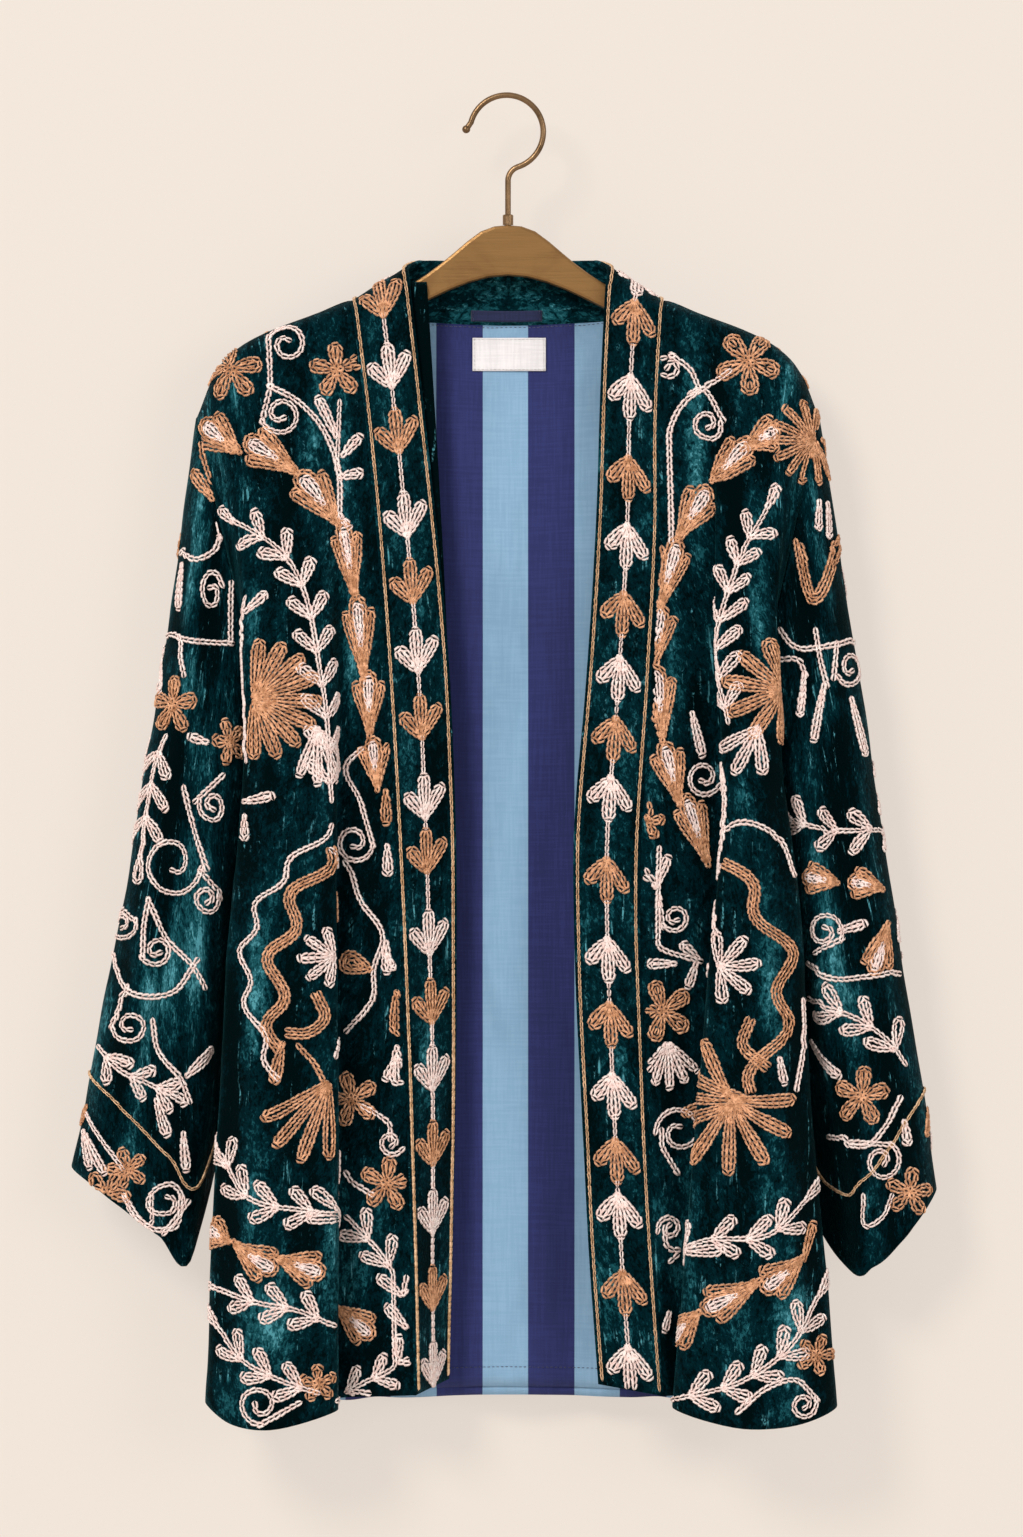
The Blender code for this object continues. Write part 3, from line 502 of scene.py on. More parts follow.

# %% [markdown]
# ## Folds placed by hand
#
# Velvet that hangs from a hanger pulls into long soft troughs from the shoulder, and gets small uneven dents
# where it was folded away. Noise alone makes cloth look like crumpled paper, so the main folds are lines
# given one by one, each with its own width and depth. Noise adds only the last millimetre.

# %% Creases of each panel
# Start and end of a fold as out and height, then its width and its depth. Above zero it is a ridge.
CREASES = {
    "front_right": [
        (-140, -175, -168, -330, 9, -2.2), (-168, -330, -176, -560, 10, -1.8),
        (-128, -170, -140, -300, 8, 2.0), (-150, -190, -182, -420, 8, 2.2),
        (-186, -300, -183, -520, 7, -2.4), (-172, -480, -168, -700, 9, 2.2),
        (-186, -600, -196, -860, 9, -2.4), (-150, -560, -143, -800, 9, -2.0),
        (-172, -720, -176, -880, 10, 2.4), (-108, -200, -104, -420, 7, 1.6),
        (-92, -420, -86, -760, 7, -1.6), (-160, -640, -186, -690, 12, -1.8),
        (-141, -860, -190, -800, 16, 1.6), (-120, -640, -122, -860, 8, 1.6),
        (-178, -235, -150, -262, 11, -1.6), (-160, -420, -184, -446, 12, 1.4),
    ],
    "front_left": [
        (140, -175, 160, -330, 9, -2.2), (160, -330, 172, -560, 9, -1.8),
        (126, -170, 132, -310, 8, 2.0), (152, -190, 178, -420, 8, 2.2),
        (186, -300, 184, -520, 7, -2.4), (172, -470, 180, -700, 9, 2.0),
        (196, -600, 210, -860, 9, -2.4), (158, -560, 150, -800, 9, -2.0),
        (186, -700, 196, -880, 10, 2.4), (112, -210, 112, -430, 7, 1.6),
        (104, -440, 108, -780, 7, -1.6), (170, -650, 200, -696, 12, -1.8),
        (150, -860, 204, -806, 16, 1.6), (126, -640, 124, -860, 8, 1.6),
        (182, -240, 152, -268, 11, -1.6), (162, -400, 190, -436, 12, 1.4),
    ],
    "back": [
        (-60, -160, -70, -520, 16, 2.0), (-20, -190, -26, -700, 15, -1.6),
        (24, -200, 30, -740, 15, 1.8), (66, -165, 74, -560, 16, -1.8),
        (-118, -170, -150, -480, 11, -2.2), (120, -170, 152, -500, 11, -2.2),
        (-150, -190, -176, -430, 10, 2.0), (152, -190, 178, -440, 10, 2.0),
        (-96, -420, -104, -860, 12, 2.2), (98, -400, 106, -860, 12, 2.2),
        (-160, -560, -176, -880, 11, -2.2), (172, -560, 190, -880, 11, -2.2),
        (-40, -600, -46, -880, 12, -2.2), (48, -640, 52, -880, 12, 2.2),
        (0, -520, 4, -880, 11, 1.8), (-130, -700, -134, -880, 10, 2.0),
        (140, -700, 150, -880, 10, -1.8), (-70, -330, 60, -380, 22, 1.4),
        (-150, -300, -60, -340, 20, -1.4), (150, -320, 70, -350, 20, 1.4),
    ],
    "sleeve_right": [
        (-203, -225, -218, -420, 9, 2.0), (-196, -260, -206, -430, 8, -2.4),
        (-222, -400, -244, -600, 10, -2.0), (-206, -430, -214, -640, 9, 2.2),
        (-232, -560, -262, -730, 10, 2.0), (-214, -640, -226, -780, 9, -2.2),
        (-246, -620, -276, -740, 9, -1.8), (-196, -350, -226, -372, 12, -1.8),
        (-212, -476, -238, -500, 13, -1.8), (-216, -590, -250, -616, 13, 1.8),
        (-236, -690, -262, -700, 14, -1.6), (-200, -400, -222, -410, 10, 1.6),
    ],
    "sleeve_left": [
        (203, -225, 214, -420, 9, 2.0), (197, -260, 205, -430, 8, -2.4),
        (220, -400, 238, -600, 10, -2.0), (206, -430, 222, -640, 9, 2.2),
        (230, -560, 256, -740, 10, 2.0), (222, -640, 236, -790, 9, -2.2),
        (246, -620, 272, -740, 9, -1.8), (198, -340, 224, -366, 12, -1.8),
        (208, -486, 236, -506, 13, -1.8), (216, -600, 248, -622, 13, 1.8),
        (232, -700, 262, -716, 14, -1.6), (200, -410, 222, -420, 10, 1.6),
    ],
    "band_right": [
        (-76, -200, -60, -330, 8, 0.7), (-60, -420, -54, -560, 8, -0.7),
        (-62, -600, -48, -720, 9, 0.7), (-50, -760, -56, -860, 8, -0.7),
    ],
    "band_left": [
        (82, -190, 76, -320, 8, -0.7), (70, -380, 66, -520, 8, 0.7),
        (72, -560, 64, -700, 9, -0.7), (76, -730, 84, -860, 8, 0.7),
    ],
}
# The share of its depth that a crease keeps at its ends, and how steeply it gains the rest
CREASE_END_SHARE, CREASE_END_SLOPE = 0.35, 4
# Soft dents: their number, lengths, lean, spread in depth, and how far they are drawn out down the cloth
UNEVEN_WAVES, UNEVEN_LENGTHS = 14, (22, 70)
UNEVEN_LEAN, UNEVEN_IN_DEPTH, UNEVEN_DOWN = 0.5, 0.3, 0.45
UNEVEN_DEPTH, BAND_UNEVEN_DEPTH = 0.7, 0.25
# The seams hold the cloth, so its relief fades at the top and at the sides
TOP_SLOPE, SIDE_SLOPE, SIDE_SHARE = 14, 12, 0.15


def crease_shape(points, x0, z0, x1, z1, width):
    """How much of a crease each point gets: all of it on the line, less to the sides and at the ends."""
    start, run = np.array([x0, z0]), np.array([x1 - x0, z1 - z0])
    here = points[..., [0, 2]] - start
    share = (here @ run) / (run @ run)
    beside = np.linalg.norm(here - np.clip(share, 0, 1)[..., None] * run, axis=-1)
    ends = np.clip(CREASE_END_SLOPE * share, 0, 1) * np.clip(CREASE_END_SLOPE * (1 - share), 0, 1)
    return np.exp(-((beside / width) ** 2)) * (CREASE_END_SHARE + (1 - CREASE_END_SHARE) * ends)


def unevenness(points, seed):
    """Soft dents a few centimetres across, drawn out down the cloth, between about -1 and 1."""
    dice = np.random.default_rng(seed)
    total = np.zeros(points.shape[:2])
    for _ in range(UNEVEN_WAVES):
        length = dice.uniform(*UNEVEN_LENGTHS)
        lean = dice.normal(0, UNEVEN_LEAN)
        way = np.array([cos(lean), dice.normal(0, UNEVEN_IN_DEPTH), UNEVEN_DOWN * sin(lean)])
        total += np.sin(points @ (way * 2 * pi / length) + dice.uniform(0, 2 * pi))
    return total / sqrt(UNEVEN_WAVES)


for seed, (name, panel) in enumerate(panels.items()):
    relief = np.zeros(panel["points"].shape[:2])
    for *ends, width, depth in CREASES[name]:
        relief += depth * crease_shape(panel["points"], *ends, width)
    uneven = BAND_UNEVEN_DEPTH if name.startswith("band") else UNEVEN_DEPTH
    relief += uneven * unevenness(panel["points"], seed)
    rows = np.linspace(0, 1, len(relief))[:, None]
    relief *= np.clip(rows * TOP_SLOPE, 0, 1)
    if not panel["closed"]:
        columns = np.linspace(0, 1, relief.shape[1])[None, :]
        relief *= np.clip(np.minimum(columns, 1 - columns) * SIDE_SLOPE, SIDE_SHARE, 1)
    panel["relief"] = relief
    panel["points"] = panel["points"] + panel["normals"] * relief[..., None]
    turned = surface_normals(panel["points"], panel["closed"])
    panel["normals"] = turned * np.sign((turned * panel["normals"]).sum(-1, keepdims=True))
    print(f"{name}: relief {relief.min():.1f} to {relief.max():.1f} mm")

# %% [markdown]
# ## The lining, and what is sewn on it
#
# The lining hangs a hair inside the back, so it takes the back's own folded points and moves them in.
# The label and the hanging loop then lie on the lining and on the band.

# %% Lining, label and loop grids
LINING_COLUMNS, LINING_FINE_ROWS = 84, 110
LABEL_COLUMNS, LABEL_ROWS = 40, 18
LOOP_COLUMNS, LOOP_ROWS = 32, 5
LOOP_ROUNDING, LOOP_SAG = 0.7, 0.6
LAST_CELL = 1.001


def sample(panel, rows, columns):
    """Points and normals of a panel between its grid points."""
    count_down, count_over = panel["points"].shape[:2]
    over = columns % count_over if panel["closed"] else np.clip(columns, 0, count_over - LAST_CELL)
    down = np.clip(rows, 0, count_down - LAST_CELL)
    r, c = down.astype(int), over.astype(int)
    beside = (c + 1) % count_over
    fr, fc = (down - r)[:, None], (over - c)[:, None]
    found = []
    for values in (panel["points"], panel["normals"]):
        top = values[r, c] * (1 - fc) + values[r, beside] * fc
        low = values[r + 1, c] * (1 - fc) + values[r + 1, beside] * fc
        found.append(top * (1 - fr) + low * fr)
    return found[0], found[1] / np.linalg.norm(found[1], axis=1, keepdims=True)


def on_back(row, place):
    """Point and normal of the folded back at fractions of its rows and columns."""
    panel = panels["back"]
    at_row = np.interp(row, fine_rows, range(len(fine_rows)))
    return sample(panel, np.atleast_1d(at_row), np.atleast_1d(place / BACK_SPANS * BACK_FINE))


inset = VELVET_WALL / 2 + LAYER_GAP + LINING_WALL / 2
places = np.linspace(*LINING_SPANS, LINING_COLUMNS + 1)
from_neck = np.clip(np.abs(places - CENTRE_PLACE) - 2, 0, 1)
tops = LINING_TOP_ROW + (LINING_SHOULDER_ROW - LINING_TOP_ROW) * from_neck
lining_rows = []
for share in np.linspace(0, 1, LINING_FINE_ROWS + 1):
    rows = tops + (PANEL_ROWS - LINING_HEM_TURN - tops) * share
    points, normals = on_back(rows, places)
    lining_rows.append(points - normals * inset)
add_panel("lining_back", np.array(lining_rows), LINING_WALL, np.array([0, -1, 0]))


def patch_grid(centre, size, columns, rows):
    """A small cloth rectangle on the lining, as a grid of points."""
    grid = []
    back = panels["back"]["points"]
    for z in np.linspace(centre[1] + size[1] / 2, centre[1] - size[1] / 2, rows + 1):
        line = []
        for x in np.linspace(centre[0] - size[0] / 2, centre[0] + size[0] / 2, columns + 1):
            row = np.interp(CENTRE_BACK[0][0] - z, SHOULDER_DROPS, range(len(SHOULDER_DROPS)))
            at_row = int(np.interp(row, fine_rows, range(len(fine_rows))))
            order = np.argsort(back[at_row, :, 0])
            y = np.interp(x, back[at_row, order, 0], back[at_row, order, 1])
            line.append((x, y - inset - LINING_WALL / 2 - LAYER_GAP - TRIM_WALL / 2, z))
        grid.append(line)
    return np.array(grid)


label_grid = patch_grid(LABEL_CENTRE, LABEL_SIZE, LABEL_COLUMNS, LABEL_ROWS)
add_panel("label", label_grid, TRIM_WALL, np.array([0, -1, 0]))
loop = []
for share in np.linspace(-1, 1, LOOP_COLUMNS + 1):
    stand = LOOP_STAND * min(1, (1 - abs(share)) / LOOP_RISE) ** LOOP_ROUNDING
    depth = CENTRE_BACK[0][2] - BAND_WALL / 2 - LAYER_GAP - TRIM_WALL / 2 - stand
    x = LOOP_CENTRE[0] + share * LOOP_SIZE[0] / 2
    top = LOOP_CENTRE[1] - LOOP_SAG * (1 - share * share)
    loop.append([(x, depth, top - drop) for drop in np.linspace(0, LOOP_SIZE[1], LOOP_ROWS)])
add_panel("hanging_loop", np.array(loop), TRIM_WALL, np.array([0, -1, 0]))
print("lining, label and loop laid out")

# %% [markdown]
# ## Small helpers for materials
#
# A material is a little tree of nodes. An effect that several finishes share, such as a weave or worn
# edges, is built once as a node group with named inputs and then placed in each material.

# %% Helpers for node trees
def feed(tree, socket, value):
    """Links a value that is a socket, and sets one that is plain."""
    if isinstance(value, bpy.types.NodeSocket):
        tree.links.new(value, socket)
    else:
        socket.default_value = value


def node(tree, kind, settings=(), inputs=()):
    """A node with its properties set and its inputs fed."""
    made = tree.nodes.new(kind)
    for name, value in dict(settings).items():
        setattr(made, name, value)
    for name, value in dict(inputs).items():
        feed(tree, made.inputs[name], value)
    return made


def group_tree(name, inputs, outputs, kind="ShaderNodeTree"):
    """A node group with its sockets. inputs and outputs are name to (type, default)."""
    tree = bpy.data.node_groups.new(name, kind)
    for in_out, sockets in (("INPUT", inputs), ("OUTPUT", outputs)):
        for label, (socket, default) in sockets.items():
            made = tree.interface.new_socket(label, in_out=in_out, socket_type=f"NodeSocket{socket}")
            if default is not None:
                made.default_value = default
    return tree, tree.nodes.new("NodeGroupInput").outputs, tree.nodes.new("NodeGroupOutput").inputs


def place_group(tree, group, inputs):
    return node(tree, "ShaderNodeGroup", {"node_tree": group}, inputs).outputs


def axes(tree, vector):
    return node(tree, "ShaderNodeSeparateXYZ", {}, {0: vector}).outputs


def cloth_place(tree):
    return node(tree, "ShaderNodeUVMap", {"uv_map": "cloth"}).outputs[0]


def object_place(tree):
    return node(tree, "ShaderNodeTexCoord").outputs["Object"]


def mix(tree, factor, dark, light):
    """Mixes two colours by a mask."""
    made = node(tree, "ShaderNodeMix", {"data_type": "RGBA"}, {0: factor})
    for index, colour in ((6, dark), (7, light)):
        feed(tree, made.inputs[index], (*colour, 1) if isinstance(colour, tuple) else colour)
    return made.outputs[2]


def math(tree, operation, *values):
    return node(tree, "ShaderNodeMath", {"operation": operation}, enumerate(values)).outputs[0]


def times(tree, a, b):
    return math(tree, "MULTIPLY", a, b)


def plus(tree, a, b):
    return math(tree, "ADD", a, b)


def round_zero(tree, value, gain):
    """A value between 0 and 1, moved to lie round zero and scaled."""
    return times(tree, math(tree, "SUBTRACT", value, 0.5), gain)


def spread(tree, value, low, high, to_low=0.0, to_high=1.0):
    """Maps low..high to to_low..to_high, smoothly, and clamps it."""
    made = node(tree, "ShaderNodeMapRange", {"interpolation_type": "SMOOTHSTEP"},
                {"Value": value, "From Min": low, "From Max": high, "To Min": to_low, "To Max": to_high})
    return made.outputs[0]


def scaled(tree, vector, scale, turn=(0, 0, 0)):
    made = node(tree, "ShaderNodeMapping", {}, {"Vector": vector, "Scale": scale, "Rotation": turn})
    return made.outputs[0]


def noise(tree, vector, scale, detail=2.0, roughness=0.5, distortion=0.0):
    made = node(tree, "ShaderNodeTexNoise", {}, {
        "Vector": vector, "Scale": scale, "Detail": detail, "Roughness": roughness,
        "Distortion": distortion})
    return made.outputs[0]


def bump(tree, height, distance, strength=1.0):
    made = node(tree, "ShaderNodeBump", {}, {"Height": height, "Distance": distance, "Strength": strength})
    return made.outputs[0]


def new_material(name, roughness, **settings):
    """A material with its Principled shader, whose even values are set on its own sockets."""
    made = bpy.data.materials.new(name)
    made.use_nodes = True
    tree = made.node_tree
    shader = tree.nodes["Principled BSDF"]
    for label, value in {"Roughness": roughness, **settings}.items():
        feed(tree, shader.inputs[label.replace("_", " ")], value)
    return made, tree, shader.inputs


# %% [markdown]
# ## Crushed pile
#
# Crushed velvet is pressed while it is twisted, so its pile lies in patches that face different ways.
# Each patch catches light or swallows it, with a sharp ragged border, and the patches run down the cloth.
# Painting them by hand would take days. Layered noises do it: one for the patches, a finer one that tears
# their borders, a long one for the streaks, flat facets where the pile is crumpled, and thin slivers that
# glint. All are drawn out down the cloth and follow its own map.

# %% The crushed pile group
# What each part adds to the crush: patches and their lift, torn borders, long streaks and flat facets
PATCH_SHARE, PATCH_LIFT, TORN_SHARE = 0.62, 0.19, 0.95
STREAK_SHARE, FACET_SHARE, TUFT_SHARE = 0.80, 0.16, 0.3
# How many times finer than a patch the facets, torn borders, streaks, slivers and tufts are
FACET_FINE, TORN_FINE, STREAK_FINE, SLIVER_FINE, TUFT_FINE = 2.4, 5.0, 0.45, 2.8, 14.0
CRUMPLE = (0.020, 0.020, 0.0)

pile, given, out = group_tree(
    "crushed_pile",
    {"Cloth": ("Vector", None), "Patch": ("Float", 60.0), "Stretch": ("Float", 0.60),
     "Seed": ("Float", 0.0)},
    {"Crush": ("Float", None), "Glint": ("Float", None), "Height": ("Float", None)})
patch = given["Patch"]
seeded = node(pile, "ShaderNodeCombineXYZ", {}, {"X": given["Seed"], "Z": given["Seed"]}).outputs[0]
moved = node(pile, "ShaderNodeVectorMath", {"operation": "ADD"}, {0: given["Cloth"], 1: seeded}).outputs[0]
squeeze = node(pile, "ShaderNodeCombineXYZ", {}, {"X": 1.0, "Y": given["Stretch"], "Z": 1.0}).outputs[0]
drawn = node(pile, "ShaderNodeVectorMath", {"operation": "MULTIPLY"}, {0: moved, 1: squeeze}).outputs[0]
bent = node(pile, "ShaderNodeTexNoise", {}, {"Vector": drawn, "Scale": patch, "Detail": 3.0})
crumpled = node(pile, "ShaderNodeVectorMath", {"operation": "MULTIPLY_ADD"},
                {0: bent.outputs["Color"], 1: CRUMPLE, 2: drawn}).outputs[0]
facet_scale = times(pile, patch, FACET_FINE)
cells = node(pile, "ShaderNodeTexVoronoi", {}, {"Vector": crumpled, "Scale": facet_scale})
facets = axes(pile, cells.outputs["Color"])[0]
patches = noise(pile, drawn, patch, 4.0, 0.62, 1.4)
torn = noise(pile, drawn, times(pile, patch, TORN_FINE), 5.0, 0.7, 0.8)
streaks = noise(pile, scaled(pile, drawn, (1, 0.35, 1)), times(pile, patch, STREAK_FINE), 2.0)
ragged = plus(pile, times(pile, patches, PATCH_SHARE), PATCH_LIFT)
ragged = plus(pile, ragged, round_zero(pile, torn, TORN_SHARE))
wide = plus(pile, ragged, round_zero(pile, streaks, STREAK_SHARE))
crush = plus(pile, wide, round_zero(pile, facets, FACET_SHARE))
pile.links.new(crush, out["Crush"])
slivers = noise(pile, scaled(pile, drawn, (1, 0.20, 1)), times(pile, patch, SLIVER_FINE), 2.0, 0.5)
glint = times(pile, spread(pile, slivers, 0.61, 0.71), spread(pile, wide, 0.50, 0.66))
pile.links.new(glint, out["Glint"])
tufts = noise(pile, drawn, times(pile, patch, TUFT_FINE), 3.0, 0.7)
pile.links.new(plus(pile, crush, times(pile, tufts, TUFT_SHARE)), out["Height"])
print("group", pile.name, "with", len(pile.nodes), "nodes")

# %% [markdown]
# The pile's lit colour is an even teal, its shade is nearly black, and fold crests are painted lighter and
# troughs darker, as painted highlight and painted shade.
# The crest mask is the height of each fold, kept on the mesh as an attribute named fold.
# A soft sheen gives velvet its bright rim at the sides of a fold.

# %% The velvets
# Velvet colours: a painted shade, the even teal, a lit copy and a painted glint, which the crush picks
# between
VELVET_PAINTED_SHADE = (0.0001, 0.0022, 0.0028)
VELVET_MIDDLE = (0.0003, 0.0125, 0.0178)
VELVET_LIT = (0.009, 0.076, 0.094)
VELVET_GLINT = (0.085, 0.310, 0.365)
SHEEN_TEAL, SHINE_TEAL = (0.12, 0.66, 0.74, 1), (0.15, 0.85, 0.95, 1)
VELVET_PATCH, VELVET_STRETCH, BAND_SEED = 108.0, 0.60, 3.7
# How strongly fold crests are painted lighter and troughs darker, as painted highlight and painted shade
FOLD_GAIN = 0.62
PILE_DEPTH, PILE_BUMP = 0.0030, 0.55


def velvet(name, seed, brushing_and_painted_light):
    """Velvet with painted light: its pile is painted lighter or darker between two places on an axis."""
    made, tree, sockets = new_material(
        name, 0.5, Sheen_Weight=0.08, Sheen_Roughness=0.25, Sheen_Tint=SHEEN_TEAL,
        Specular_IOR_Level=0.04, Specular_Tint=SHINE_TEAL)
    crushed = place_group(tree, pile, {"Cloth": cloth_place(tree), "Patch": VELVET_PATCH,
                                       "Stretch": VELVET_STRETCH, "Seed": seed})
    fold = node(tree, "ShaderNodeAttribute", {"attribute_name": "fold"}).outputs["Fac"]
    # Painted highlight and painted shade: the fold's height lifts the crush on crests and lowers it in
    # troughs
    crush = plus(tree, crushed["Crush"], round_zero(tree, fold, FOLD_GAIN))
    apart = axes(tree, object_place(tree))
    for axis, start, end, lift in brushing_and_painted_light:
        crush = plus(tree, crush, spread(tree, apart[axis], start, end, 0.0, lift))
    # Painted light: low crush takes the painted shade, high crush the lit copy and the glint, and the
    # slivers add thin painted glints
    base = mix(tree, spread(tree, crush, 0.58, 0.34), VELVET_MIDDLE, VELVET_PAINTED_SHADE)
    base = mix(tree, spread(tree, crush, 0.60, 0.80), base, VELVET_LIT)
    base = mix(tree, spread(tree, crush, 0.80, 1.0), base, VELVET_GLINT)
    base = mix(tree, crushed["Glint"], base, VELVET_GLINT)
    tree.links.new(base, sockets["Base Color"])
    tree.links.new(spread(tree, crush, 0.5, 0.8, 0.62, 0.42), sockets["Roughness"])
    tree.links.new(bump(tree, crushed["Height"], PILE_DEPTH, PILE_BUMP), sockets["Normal"])
    return made


# Painted light: beyond about 0.2 m out, the right side, towards the key light, is painted lighter and the
# left side darker
velvet_cloth = velvet("velvet", 0.0, [(0, -0.18, -0.22, 0.045), (0, 0.19, 0.23, -0.045)])
# Painted highlight: the band is painted lighter behind the neck, and a little at the front
band_velvet = velvet("band_velvet", BAND_SEED, [(1, 0.004, 0.016, 0.12), (1, 0.004, 0.0, 0.02)])
print("velvets:", velvet_cloth.name, band_velvet.name)

# %% [markdown]
# ## Woven cotton
#
# The lining is a plain weave with broad stripes dyed in the warp. Under a lens it is two sets of threads
# that pass over and under each other, with thicker slubs here and there. Two fine waves multiplied give
# the checkered rise and fall of the weave, and a long thin noise gives the slubs.

# %% The weave group, the lining and the label
weave, given, out = group_tree(
    "plain_weave",
    {"Cloth": ("Vector", None), "Threads": ("Float", 1500.0), "Slub": ("Float", 500.0)},
    {"Height": ("Float", None), "Slubs": ("Float", None), "Creases": ("Float", None)})
across_down = axes(weave, given["Cloth"])[:2]
warp, weft = [math(weave, "SINE", times(weave, times(weave, part, given["Threads"]), pi))
              for part in across_down]
slubs = [noise(weave, scaled(weave, given["Cloth"], way), given["Slub"], 2.0, 0.6)
         for way in ((1, 0.05, 1), (0.05, 1, 1))]
slubs = times(weave, plus(weave, *slubs), 0.5)
weave.links.new(plus(weave, times(weave, times(weave, warp, weft), 0.35), slubs), out["Height"])
weave.links.new(spread(weave, slubs, 0.42, 0.60), out["Slubs"])
creases = noise(weave, scaled(weave, given["Cloth"], (1, 0.35, 1)), 16.0, 3.0, 0.55, 0.6)
weave.links.new(creases, out["Creases"])

STRIPE_PERIOD = 0.0626
STRIPE_START = -0.0170
STRIPE_SHARE = 0.489
STRIPE_EDGE = 0.006
THREADS, SLUB = 2300.0, 620.0
CREASE_SHADE = (0.005, 0.006, 0.02)
# A cloth of one colour: a stripe so wide that its pale part never shows
ONE_STRIPE = (0.5, 0.001, -0.2)
NAVY, NAVY_WORN = (0.0160, 0.0220, 0.112), (0.021, 0.029, 0.140)
SKY, SKY_WORN = (0.222, 0.388, 0.565), (0.252, 0.422, 0.600)


def striped(name, period, share, start, pale, deep, roughness):
    """Striped cotton: pale and deep are each a worn and an even colour."""
    made, tree, sockets = new_material(name, roughness, Sheen_Weight=0.12, Sheen_Roughness=0.5,
                                       Specular_IOR_Level=0.3)
    cloth = cloth_place(tree)
    woven = place_group(tree, weave, {"Cloth": cloth, "Threads": THREADS, "Slub": SLUB})
    place = math(tree, "DIVIDE", math(tree, "SUBTRACT", axes(tree, cloth)[0], start), period)
    place = math(tree, "FRACT", place)
    rise = spread(tree, place, share - STRIPE_EDGE, share + STRIPE_EDGE)
    stripe = times(tree, rise, spread(tree, place, 1 - STRIPE_EDGE, 1.0, 1.0, 0.0))
    base = mix(tree, stripe, mix(tree, woven["Slubs"], *pale), mix(tree, woven["Slubs"], *deep))
    base = mix(tree, spread(tree, woven["Creases"], 0.60, 0.35, 0.0, 0.14), base, CREASE_SHADE)
    tree.links.new(base, sockets["Base Color"])
    lift = plus(tree, times(tree, woven["Creases"], 3.0), woven["Height"])
    tree.links.new(bump(tree, lift, 0.0006, 0.45), sockets["Normal"])
    return made


lining_cloth = striped("lining", STRIPE_PERIOD, STRIPE_SHARE, STRIPE_START, (SKY, SKY_WORN),
                       (NAVY, NAVY_WORN), 0.82)
LOOP_NAVIES = (0.009, 0.013, 0.050), (0.014, 0.019, 0.070)
loop_cloth = striped("loop_cotton", *ONE_STRIPE, LOOP_NAVIES, LOOP_NAVIES, 0.8)
LABEL_WHITES = (0.80, 0.77, 0.78), (0.88, 0.85, 0.86)
label_cloth = striped("label_tape", *ONE_STRIPE, LABEL_WHITES, LABEL_WHITES, 0.75)
print("cottons:", lining_cloth.name, loop_cloth.name, label_cloth.name)

# %% [markdown]
# ## Embroidery thread
#
# The chain stitch is sewn in a soft cotton floss of several strands. Each link shades a little
# differently, as the strands open and close, so the colour and the bump come from two noises in the
# object's own space: one as large as a link, one as fine as a strand.

# %% The thread group and its two colours
floss, given, out = group_tree(
    "floss", {"Place": ("Vector", None), "Link": ("Float", 260.0), "Strand": ("Float", 1700.0)},
    {"Shade": ("Float", None), "Strands": ("Float", None)})
link_noise = noise(floss, given["Place"], given["Link"], 2.0, 0.6)
strand_noise = noise(floss, given["Place"], given["Strand"], 2.0, 0.6)
shade = plus(floss, times(floss, link_noise, 0.7), times(floss, strand_noise, 0.3))
floss.links.new(spread(floss, shade, 0.36, 0.66), out["Shade"])
floss.links.new(strand_noise, out["Strands"])


def thread(name, shade, light):
    made, tree, sockets = new_material(name, 0.68, Sheen_Weight=0.25, Sheen_Roughness=0.4,
                                       Specular_IOR_Level=0.35)
    strands = place_group(tree, floss, {"Place": object_place(tree)})
    tree.links.new(mix(tree, strands["Shade"], shade, light), sockets["Base Color"])
    tree.links.new(bump(tree, strands["Strands"], 0.0005, 0.7), sockets["Normal"])
    return made


threads = {
    PINK: thread("pink_floss", (0.88, 0.65, 0.59), (1.0, 0.88, 0.83)),
    COPPER: thread("copper_floss", (0.41, 0.176, 0.074), (0.90, 0.485, 0.270)),
    STRAW: thread("straw_floss", (0.56, 0.31, 0.14), (0.98, 0.66, 0.40)),
    "navy": thread("navy_thread", (0.010, 0.012, 0.055), (0.022, 0.026, 0.10)),
    "white": thread("white_thread", (0.60, 0.57, 0.56), (0.82, 0.79, 0.78)),
}
print("threads:", ", ".join(threads))

# %% [markdown]
# ## Old brass
#
# The board has a satin gold lacquer that was brushed along its length. The hook is darker and patinated,
# and handling has polished it on the outside of its bend. Real wear follows touch, so it is tied to
# soft noise and not to sharp edges.

# %% The metal group and its finishes
BRUSH_SHADE, SMOOTHER, ROUGHER = 0.25, 0.07, 0.1

aged, given, out = group_tree(
    "aged_metal", {"Place": ("Vector", None), "Brush": ("Float", 900.0), "Cloud": ("Float", 26.0)},
    {"Brushed": ("Float", None), "Tarnish": ("Float", None)})
brushing_and_painted_light = noise(aged, scaled(aged, given["Place"], (0.03, 1, 1)), given["Brush"], 3.0, 0.6)
aged.links.new(brushing_and_painted_light, out["Brushed"])
clouds = noise(aged, given["Place"], given["Cloud"], 4.0, 0.6, 0.4)
aged.links.new(spread(aged, clouds, 0.42, 0.68), out["Tarnish"])


def metal(name, bright, dark, roughness, tarnish, metallic):
    made, tree, sockets = new_material(name, roughness, Metallic=metallic, Specular_IOR_Level=0.5)
    worn = place_group(tree, aged, {"Place": object_place(tree)})
    base = mix(tree, times(tree, worn["Tarnish"], tarnish), bright, dark)
    base = mix(tree, times(tree, worn["Brushed"], BRUSH_SHADE), base, dark)
    tree.links.new(base, sockets["Base Color"])
    rough = spread(tree, worn["Brushed"], 0.2, 0.8, roughness - SMOOTHER, roughness + ROUGHER)
    tree.links.new(rough, sockets["Roughness"])
    tree.links.new(bump(tree, worn["Brushed"], 0.0002, 0.5), sockets["Normal"])
    return made


